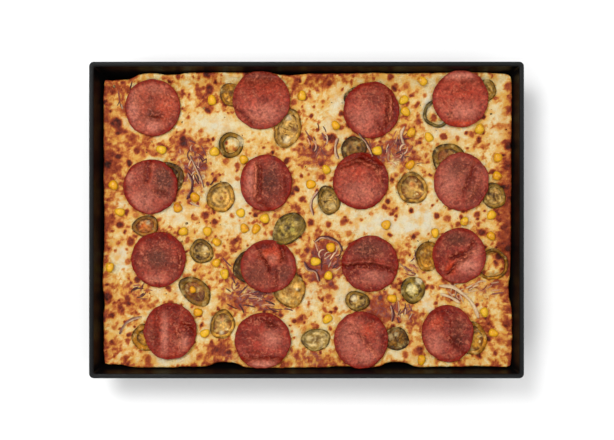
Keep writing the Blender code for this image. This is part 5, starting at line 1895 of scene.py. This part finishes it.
@dataclass
class Corn:
    """Sweetcorn kernels pressed into the cheese, clear of the other toppings."""

    laid: Laid
    half: tuple = (4.5, 3.8, 2.8)
    margin: float = 5.1
    spacing: float = 9.4
    pushes: int = 6
    lift: float = 0.7
    seed: int = 14
    in_hole: int = 12
    yellows: tuple = ((250, 178, 18), (253, 200, 44), (236, 146, 16))
    scorched: Colour = (196, 104, 34)

    def places(self) -> Array:
        """Kernel places after each is pushed out of every topping that it would touch."""
        ovals = [(*centre_of(item.node)[0], *item.half, math.radians(item.turn))
                 for item in PEPPERS]
        for item in SAUSAGE:
            centre, half = item.extent()
            ovals.append((*centre, *half, 0.0))
        kept: list = []
        for start in KERNELS:
            place = np.array(start, dtype=float)
            for _ in range(self.pushes):
                for oval in ovals:
                    distance, way = self.clear_of(place, oval)
                    if distance < self.margin:
                        place = place + way * (self.margin - distance)
            clear = all(self.clear_of(place, oval)[0] > self.margin - 0.4 for oval in ovals)
            apart = all(np.hypot(*(place - other)) > self.spacing for other in kept)
            if clear and apart:
                kept.append(place)
        held = next(item for item in PEPPERS if item.number == self.in_hole)
        kept.append(np.array(centre_of(held.node)[0]) + np.array((-2.0, 1.5)))
        return np.array(kept)

    @staticmethod
    def clear_of(place: Array, oval: tuple) -> tuple:
        """Distance of a place out from an oval's edge, and the way out from its centre.

        Args:
            place: X and Y in millimetres.
            oval: its middle, half sizes and turn in radians.

        Returns:
            The distance and the way as a unit vector.
        """
        away = place - np.array(oval[:2])
        angle = math.atan2(away[1], away[0]) - oval[4]
        edge = oval[2] * oval[3] / math.hypot(oval[3] * math.cos(angle), oval[2] * math.sin(angle))
        length = float(np.hypot(*away))
        return length - edge, away / max(length, 1e-6)

    def build(self, material: Material) -> Piece:
        """Make all kernels as one piece of squashed, tapered, squarish balls."""
        places = self.places()
        draw = np.random.default_rng(self.seed)
        count = len(places)
        ground = self.laid.height(places[:, 0], places[:, 1])
        centres = np.column_stack([places, ground + self.lift])
        halves = np.array(self.half) * draw.uniform(0.88, 1.06, (count, 3))
        halves[-1] *= 0.8
        turns = draw.uniform(0, 2 * math.pi, count)
        gold, lemon, amber = (surface(colour) for colour in self.yellows)
        share = draw.uniform(0, 1, count)
        tints = blend(blend(gold * np.ones(3), lemon, share), amber, draw.power(0.4, count) * 0.5)
        shell = lumps_at(centres, halves, turns, tints, (9, 16), taper=0.22, square=0.86)
        self.detail(shell, count, draw)
        for (x, y), z, half in zip(places, centres[:, 2], halves):
            cut = self.laid.lattice.window(x, y, 5)
            dx, dy = self.laid.lattice.x[cut] - x, self.laid.lattice.y[cut] - y
            share_in = np.clip(1 - (dx ** 2 + dy ** 2) / 16, 0, 1)
            self.laid.raise_to(cut, z + half[2] * np.sqrt(share_in), share_in > 0)
        return make_piece("corn_kernels", shell, material)

    def detail(self, shell: Shell, count: int, draw: np.random.Generator) -> None:
        """Dent the kernels a little and brown some of their crowns."""
        noise = Noise(self.seed)
        points = shell.points.reshape(count, -1, 3)
        middle = points.mean(axis=1, keepdims=True)
        dent = 1 + 0.05 * noise.layered(points[..., 0], points[..., 1] + points[..., 2], 3.0, 2)
        shell.points = (middle + (points - middle) * dent[..., None]).reshape(-1, 3)
        scorch = np.clip(noise.layered(points[..., 0] + 40, points[..., 1], 5.0, 2) * 1.6 - 0.35,
                         0, 0.8)
        scorch = scorch * draw.integers(0, 2, count)[:, None]
        tint = shell.values["tint"].reshape(count, -1, 3)
        shell.values["tint"] = blend(tint, surface(self.scorched), scorch).reshape(-1, 3)


def route_of(places: tuple, spacing: float) -> Array:
    """Evenly spaced points on a smooth curve through given ones.

    Between two places the curve is the cubic whose slope at each is half the way from the place
    before to the place after.

    Args:
        places: points that the curve goes through.
        spacing: distance between the points of the curve.

    Returns:
        The points.
    """
    ends = np.array([places[0], *places, places[-1]], dtype=float)
    t = np.linspace(0, 1, 12, endpoint=False)[:, None]
    runs = [0.5 * (2 * b + (c - a) * t + (2 * a - 5 * b + 4 * c - d) * t ** 2
                   + (3 * b - a - 3 * c + d) * t ** 3)
            for a, b, c, d in zip(ends, ends[1:], ends[2:], ends[3:])]
    fine = np.concatenate([*runs, ends[-1:]])
    walked = np.concatenate([[0], np.cumsum(np.hypot(*np.diff(fine, axis=0).T))])
    marks = np.linspace(0, walked[-1], max(6, round(walked[-1] / spacing) + 1))
    return np.column_stack([np.interp(marks, walked, fine[:, axis]) for axis in (0, 1)])


def strip_along(route: Array, width: Array, depth: Array, sides: int, twist: Array) -> Array:
    """Grid of points of a flattened tube along a route.

    The section is an oval in the plane of the side way and the normal, turned by the twist.

    Args:
        route: points along the middle.
        width: half width at each.
        depth: half depth at each.
        sides: points round the tube.
        twist: turn about the route at each, in radians.

    Returns:
        Rows of points, one for each of the route.
    """
    tangent = np.gradient(route, axis=0)
    tangent /= np.linalg.norm(tangent, axis=1, keepdims=True)
    side = np.cross(np.array((0.0, 0.0, 1.0)), tangent)
    side /= np.linalg.norm(side, axis=1, keepdims=True)
    normal = np.cross(tangent, side)
    angle = circle(sides)[None, :]
    out, up = turned(width[:, None] * np.cos(angle), depth[:, None] * np.sin(angle),
                     -twist[:, None])
    return route[:, None] + out[..., None] * side[:, None] + up[..., None] * normal[:, None]


@dataclass
class OnionMaker:
    """Builds strips of red onion along their routes."""

    laid: Laid
    spacing: float = 1.4
    sides: int = 12
    seed: int = 17
    colours: tuple = ((240, 206, 158), (166, 84, 78), (82, 24, 30))

    def build(self, number: int, material: Material) -> Piece:
        """Lay one strip: wide and thin, with a purple skin side and a pale inside.

        Args:
            number: which strip.
            material: finish of the piece.

        Returns:
            The piece.
        """
        draw = np.random.default_rng(self.seed + number)
        half, purple, places = ONIONS[number]
        flat = route_of(places, self.spacing)
        ground = self.laid.height(flat[:, 0], flat[:, 1])
        for _ in range(6):
            wide = np.pad(ground, 1, mode="edge")
            ground = np.maximum(ground, (wide[:-2] + wide[2:]) / 2)
        along = np.linspace(0, 1, len(flat))
        route = np.column_stack([flat, ground + half * 0.45])
        taper = np.clip(np.minimum(along, 1 - along) * 7 + 0.25, 0, 1) ** 0.5
        width = half * 0.85 * taper * (1 + 0.2 * np.sin(along * 9 + number))
        depth = half * 0.5 * taper
        twist = 0.5 * np.sin(along * 4 + draw.uniform(0, 6))
        grid = strip_along(route, width, depth, self.sides, twist)
        angle = circle(self.sides)[None, :]
        skin = 0.5 + 0.5 * np.cos(angle + draw.uniform(-0.5, 0.5)) + 0 * along[:, None]
        noise = Noise(self.seed + number)
        streak = noise.layered(along[:, None] * 6, np.cos(angle) * 3, 0.9, 3)
        white, mauve, dark = (surface(colour) for colour in self.colours)
        lit = skin + 0.35 * purple
        tint = blend(white * np.ones(3), mauve, np.clip(1.2 * purple * lit + 0.5 * streak, 0, 1))
        share = 1.2 * purple * ease(0.5, 1.0, lit + 0.4 * streak)
        tint = blend(tint, dark, np.clip(share, 0, 1))
        shell = capped(grid, {"tint": tint})
        return make_piece(f"onion_strip_{number + 1:02d}", shell, material,
                          (f"onion_{number + 1:02d}",))


@dataclass(frozen=True)
class Tangle:
    """An area of fine shreds: centre, half sizes, how many, their way, and if they're pale."""

    x: float
    y: float
    reach_x: float
    reach_y: float
    count: int
    way: float
    pale: bool = False


# Values of each Tangle
TANGLES = (
    (-97, 42, 11, 18, 36, 100), (-46, -66, 20, 8, 40, 10), (74, 60, 15, 10, 34, 40),
    (130, -62, 13, 6, 22, -25, True), (-62, -52, 7, 10, 14, 70), (18, -34, 11, 10, 26, 60),
    (84, -84, 9, 10, 16, 80), (96, -44, 8, 10, 8, 120), (12, 62, 12, 12, 16, 100),
    (-144, -58, 14, 10, 10, 30), (48, 66, 9, 8, 10, 130), (154, -58, 10, 6, 6, 20),
    (-156, 96, 10, 12, 6, 70), (-20, -66, 12, 8, 10, 20),
)


@dataclass
class Shreds:
    """Fine shreds of onion and sausage skin that lie in tangles on the cheese."""

    laid: Laid
    seed: int = 23
    colours: tuple = ((150, 66, 50), (178, 98, 72), (208, 150, 110), (104, 46, 54),
                      (132, 70, 64), (222, 180, 140), (92, 38, 34))
    pale_colours: tuple = ((236, 204, 160), (224, 182, 138), (214, 150, 112), (150, 84, 40))

    def build(self, material: Material) -> Piece:
        """Make every shred as a thin bent strip and join them into one piece."""
        draw = np.random.default_rng(self.seed)
        parts = []
        for tangle in (Tangle(*values) for values in TANGLES):
            tries = [self.shred(tangle, draw) for _ in range(tangle.count * 2)]
            parts += [part for part in tries if part is not None][:tangle.count]
        return make_piece("fine_shreds", join(parts), material)

    def shred(self, tangle: Tangle, draw: np.random.Generator) -> Optional[Shell]:
        """One shred: an arc of drawn length and bend, laid on the cheese, clear of the slices.

        Args:
            tangle: where it lies.
            draw: source of random numbers.

        Returns:
            The shred, or None where a slice lies.
        """
        way = math.radians(tangle.way + draw.normal(0, 32))
        length = draw.uniform(4, 12)
        bend = draw.normal(0, 0.09)
        t = np.linspace(-0.5, 0.5, 8) * length
        heading = way + bend * t
        step = t[1] - t[0]
        x = tangle.x + draw.normal(0, 0.55) * tangle.reach_x + np.cumsum(np.cos(heading)) * step
        y = tangle.y + draw.normal(0, 0.55) * tangle.reach_y + np.cumsum(np.sin(heading)) * step
        if self.laid.lattice.read(self.laid.covered, x, y).max() > 0.1:
            return None
        ground = self.laid.height(x, y)
        smooth = np.convolve(np.pad(ground, 1, "edge"), (0.25, 0.5, 0.25), "valid")
        half = draw.uniform(0.45, 0.85)
        taper = np.sqrt(np.clip(1 - (t / length * 2) ** 4, 0.08, 1))
        route = np.column_stack([x, y, np.maximum(smooth, ground) + half * 0.25])
        grid = strip_along(route, half * taper, half * 0.5 * taper, 6, draw.normal(0, 0.5) + 0 * t)
        choice = self.pale_colours if tangle.pale else self.colours
        colour = surface(choice[draw.integers(len(choice))])
        tint = colour * (1 + 0.2 * draw.normal()) * np.ones((*grid.shape[:2], 1))
        return capped(grid, {"tint": np.clip(tint, 0.01, 1)})


def join(parts: list) -> Shell:
    """Join many shells into one in a single pass."""
    starts = np.cumsum([0] + [len(part.points) for part in parts[:-1]])
    faces = [[i + int(start) for i in face] for part, start in zip(parts, starts)
             for face in part.faces]
    values = {name: np.concatenate([part.values[name] for part in parts])
              for name in parts[0].values}
    return Shell(np.concatenate([part.points for part in parts]), faces, values)


@dataclass
class Flecks:
    """Crumbs of dark herb, charred cheese and crushed pepper strewn over the top."""

    laid: Laid
    count: int = 150
    strewn: tuple = (172, 121)
    seed: int = 41
    colours: tuple = ((46, 44, 26), (70, 34, 24), (92, 50, 30), (62, 66, 34), (120, 46, 30))
    placed: tuple = ((-166.7, 115.8, 1.5), (-89, 97, 1.3), (-108, 85, 1.0), (4, -98, 1.1),
                     (29, -32, 1.2), (160, 92, 1.0), (172, 78, 0.9), (-104, -3, 1.4))

    def build(self, material: Material) -> Piece:
        """Scatter squashed balls of under a millimetre on the top."""
        draw = np.random.default_rng(self.seed)
        ranges = [(-reach, reach) for reach in self.strewn] + [(0.25, 0.7)]
        x, y, size = (np.concatenate([draw.uniform(*ends, self.count), placed])
                      for ends, placed in zip(ranges, zip(*self.placed)))
        clear = self.laid.lattice.read(self.laid.covered, x, y) < 0.1
        x, y, size = x[clear], y[clear], size[clear]
        ground = self.laid.height(x, y)
        halves = size[:, None] * draw.uniform((0.8, 0.5, 0.3), (1.4, 0.9, 0.6), (len(x), 3))
        centres = np.column_stack([x, y, ground + halves[:, 2] * 0.4])
        tints = surface(np.array(self.colours)[draw.integers(0, len(self.colours), len(x))])
        turns = draw.uniform(0, math.pi, len(x))
        shell = lumps_at(centres, halves, turns, tints, (4, 7))
        return make_piece("herb_flecks", shell, material)


@dataclass
class Crust:
    """Baked dough under the cheese, browned where it fried against the wall."""

    edge: FoodEdge
    base: float = 2.0
    top: float = 30.0
    shrink: float = 0.9
    heel: float = 4.0
    shoulder: float = 6.0
    rows: int = 26
    around: tuple = (180, 130)
    seed: int = 9

    def build(self, material: Material) -> Piece:
        """Loft rings of the food's edge from foot to shoulder, dented inwards by noise."""
        u = np.linspace(-1, 1, self.around[0] + 1)
        v = np.linspace(-1, 1, self.around[1] + 1)
        ring_u = np.concatenate([u[:-1], np.ones(len(v) - 1), u[:0:-1], -np.ones(len(v) - 1)])
        ring_v = np.concatenate([-np.ones(len(u) - 1), v[:-1], np.ones(len(u) - 1), v[:0:-1]])
        z = np.linspace(self.base, self.top, self.rows)[:, None]
        foot = self.heel * (1 - np.sqrt(np.clip((z - self.base) / self.heel, 0, 1)))
        shoulder = 0.5 * self.shrink * ease(self.top - self.shoulder, self.top, z)
        x, y = self.edge.place(ring_u[None], ring_v[None], z)
        noise = Noise(self.seed)
        dent = 0.5 * (1 + noise.layered(x + y * 0.7, y - x * 0.7 + z * 3, 6.0, 4)) * 0.9
        draw_in = self.shrink / 2 + foot + shoulder + dent
        grid = np.stack([x - ring_u * draw_in, y - ring_v * draw_in, z + 0 * x], axis=-1)
        return make_piece("crust_side", capped(grid), material, ("crust",))


# Studio


@dataclass
class Studio:
    """Plain white ground, soft lights and a camera straight above."""

    camera_height: float = 0.927
    camera_x: float = 0.0004
    lens: float = 60.08
    floor_half: float = 3.0
    floor_white: float = 0.97
    sky: float = 0.25
    lights: tuple = (("key_light", (-0.4, 0.48, 1.3), 0.5, 11.3),
                     ("left_fill", (-0.6, -0.4, 1.3), 1.1, 8.0),
                     ("right_fill", (0.65, 0.15, 1.3), 1.1, 7.6))

    def build(self) -> None:
        """Set up the floor, the camera, the lights and the world."""
        self.floor()
        self.camera()
        for values in self.lights:
            self.light(*values)
        world = bpy.data.worlds.new("studio")
        bpy.context.scene.world = world
        world.use_nodes = True
        sky = world.node_tree.nodes["Background"]
        sky.inputs["Color"].default_value = (1.0, 1.0, 1.0, 1.0)
        sky.inputs["Strength"].default_value = self.sky
        bpy.context.scene.view_settings.view_transform = "Standard"

    def floor(self) -> None:
        """Lay a plain floor just under the pan."""
        half = self.floor_half
        mesh = bpy.data.meshes.new("floor")
        mesh.from_pydata([(-half, -half, 0), (half, -half, 0), (half, half, 0), (-half, half, 0)],
                         [], [(0, 1, 2, 3)])
        graph = Graph("floor_white")
        graph.shader.inputs["Specular IOR Level"].default_value = 0.1
        mesh.materials.append(graph.finish((self.floor_white,) * 3, 0.9))
        floor = bpy.data.objects.new("floor", mesh)
        bpy.context.scene.collection.objects.link(floor)

    def camera(self) -> None:
        """Hang the camera over the pan, with the long side of the pan across the picture."""
        data = bpy.data.cameras.new("camera")
        data.lens = self.lens
        data.sensor_width = 36.0
        camera = bpy.data.objects.new("camera", data)
        camera.location = (self.camera_x, 0.0, self.camera_height)
        bpy.context.scene.collection.objects.link(camera)
        bpy.context.scene.camera = camera

    def light(self, name: str, place: tuple, size: float, power: float) -> None:
        """Hang a square soft light that points at the middle of the food."""
        data = bpy.data.lights.new(name, "AREA")
        data.shape = "SQUARE"
        data.size = size
        data.energy = power
        lamp = bpy.data.objects.new(name, data)
        lamp.location = place
        lamp.rotation_euler = (-Vector(place)).to_track_quat("-Z", "Y").to_euler()
        bpy.context.scene.collection.objects.link(lamp)


def main() -> None:
    """Build the pan, the food from the crust up, and the studio."""
    logging.basicConfig(level=logging.INFO, format="%(message)s")
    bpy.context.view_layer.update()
    Studio().build()

    pan = Pan()
    pan.build(PanFinish().build())
    edge = FoodEdge(pan)
    Crust(edge).build(CrustFinish().build())
    lattice = Lattice()
    cheese = Cheese(edge, lattice)
    cheese.build(CheeseFinish().build())

    laid = Laid(lattice, cheese.height.copy(), np.zeros_like(cheese.height))
    pepper_material = PepperFinish().build()
    peppers = PepperMaker(laid)
    for item in PEPPERS:
        if item.number != PEPPER_ON_SAUSAGE:
            peppers.build(item, pepper_material)
    corn = TintedFinish("sweetcorn_looks", rough=(0.2, 0.36), grain=1.2, swing=(0.82, 1.16),
                        depth=0.12, coat=0.1, glow=0.15, glow_reach=(0.004, 0.0025, 0.0008))
    Corn(laid).build(corn.build())
    sausage = SausageMaker(laid)
    sausage_material = SausageFinish().build()
    for item in SAUSAGE:
        sausage.build(item, sausage_material)
    top_slice = next(item for item in PEPPERS if item.number == PEPPER_ON_SAUSAGE)
    peppers.build(top_slice, pepper_material)
    onion_material = TintedFinish("red_onion_looks", rough=(0.25, 0.45), grain=0.7,
                                  swing=(0.8, 1.2), depth=0.12, coat=0.15, glow=0.1).build()
    onions = OnionMaker(laid)
    for number in range(len(ONIONS)):
        onions.build(number, onion_material)
    Shreds(laid).build(onion_material)
    Flecks(laid).build(pepper_material)


if __name__ == "__main__":
    main()
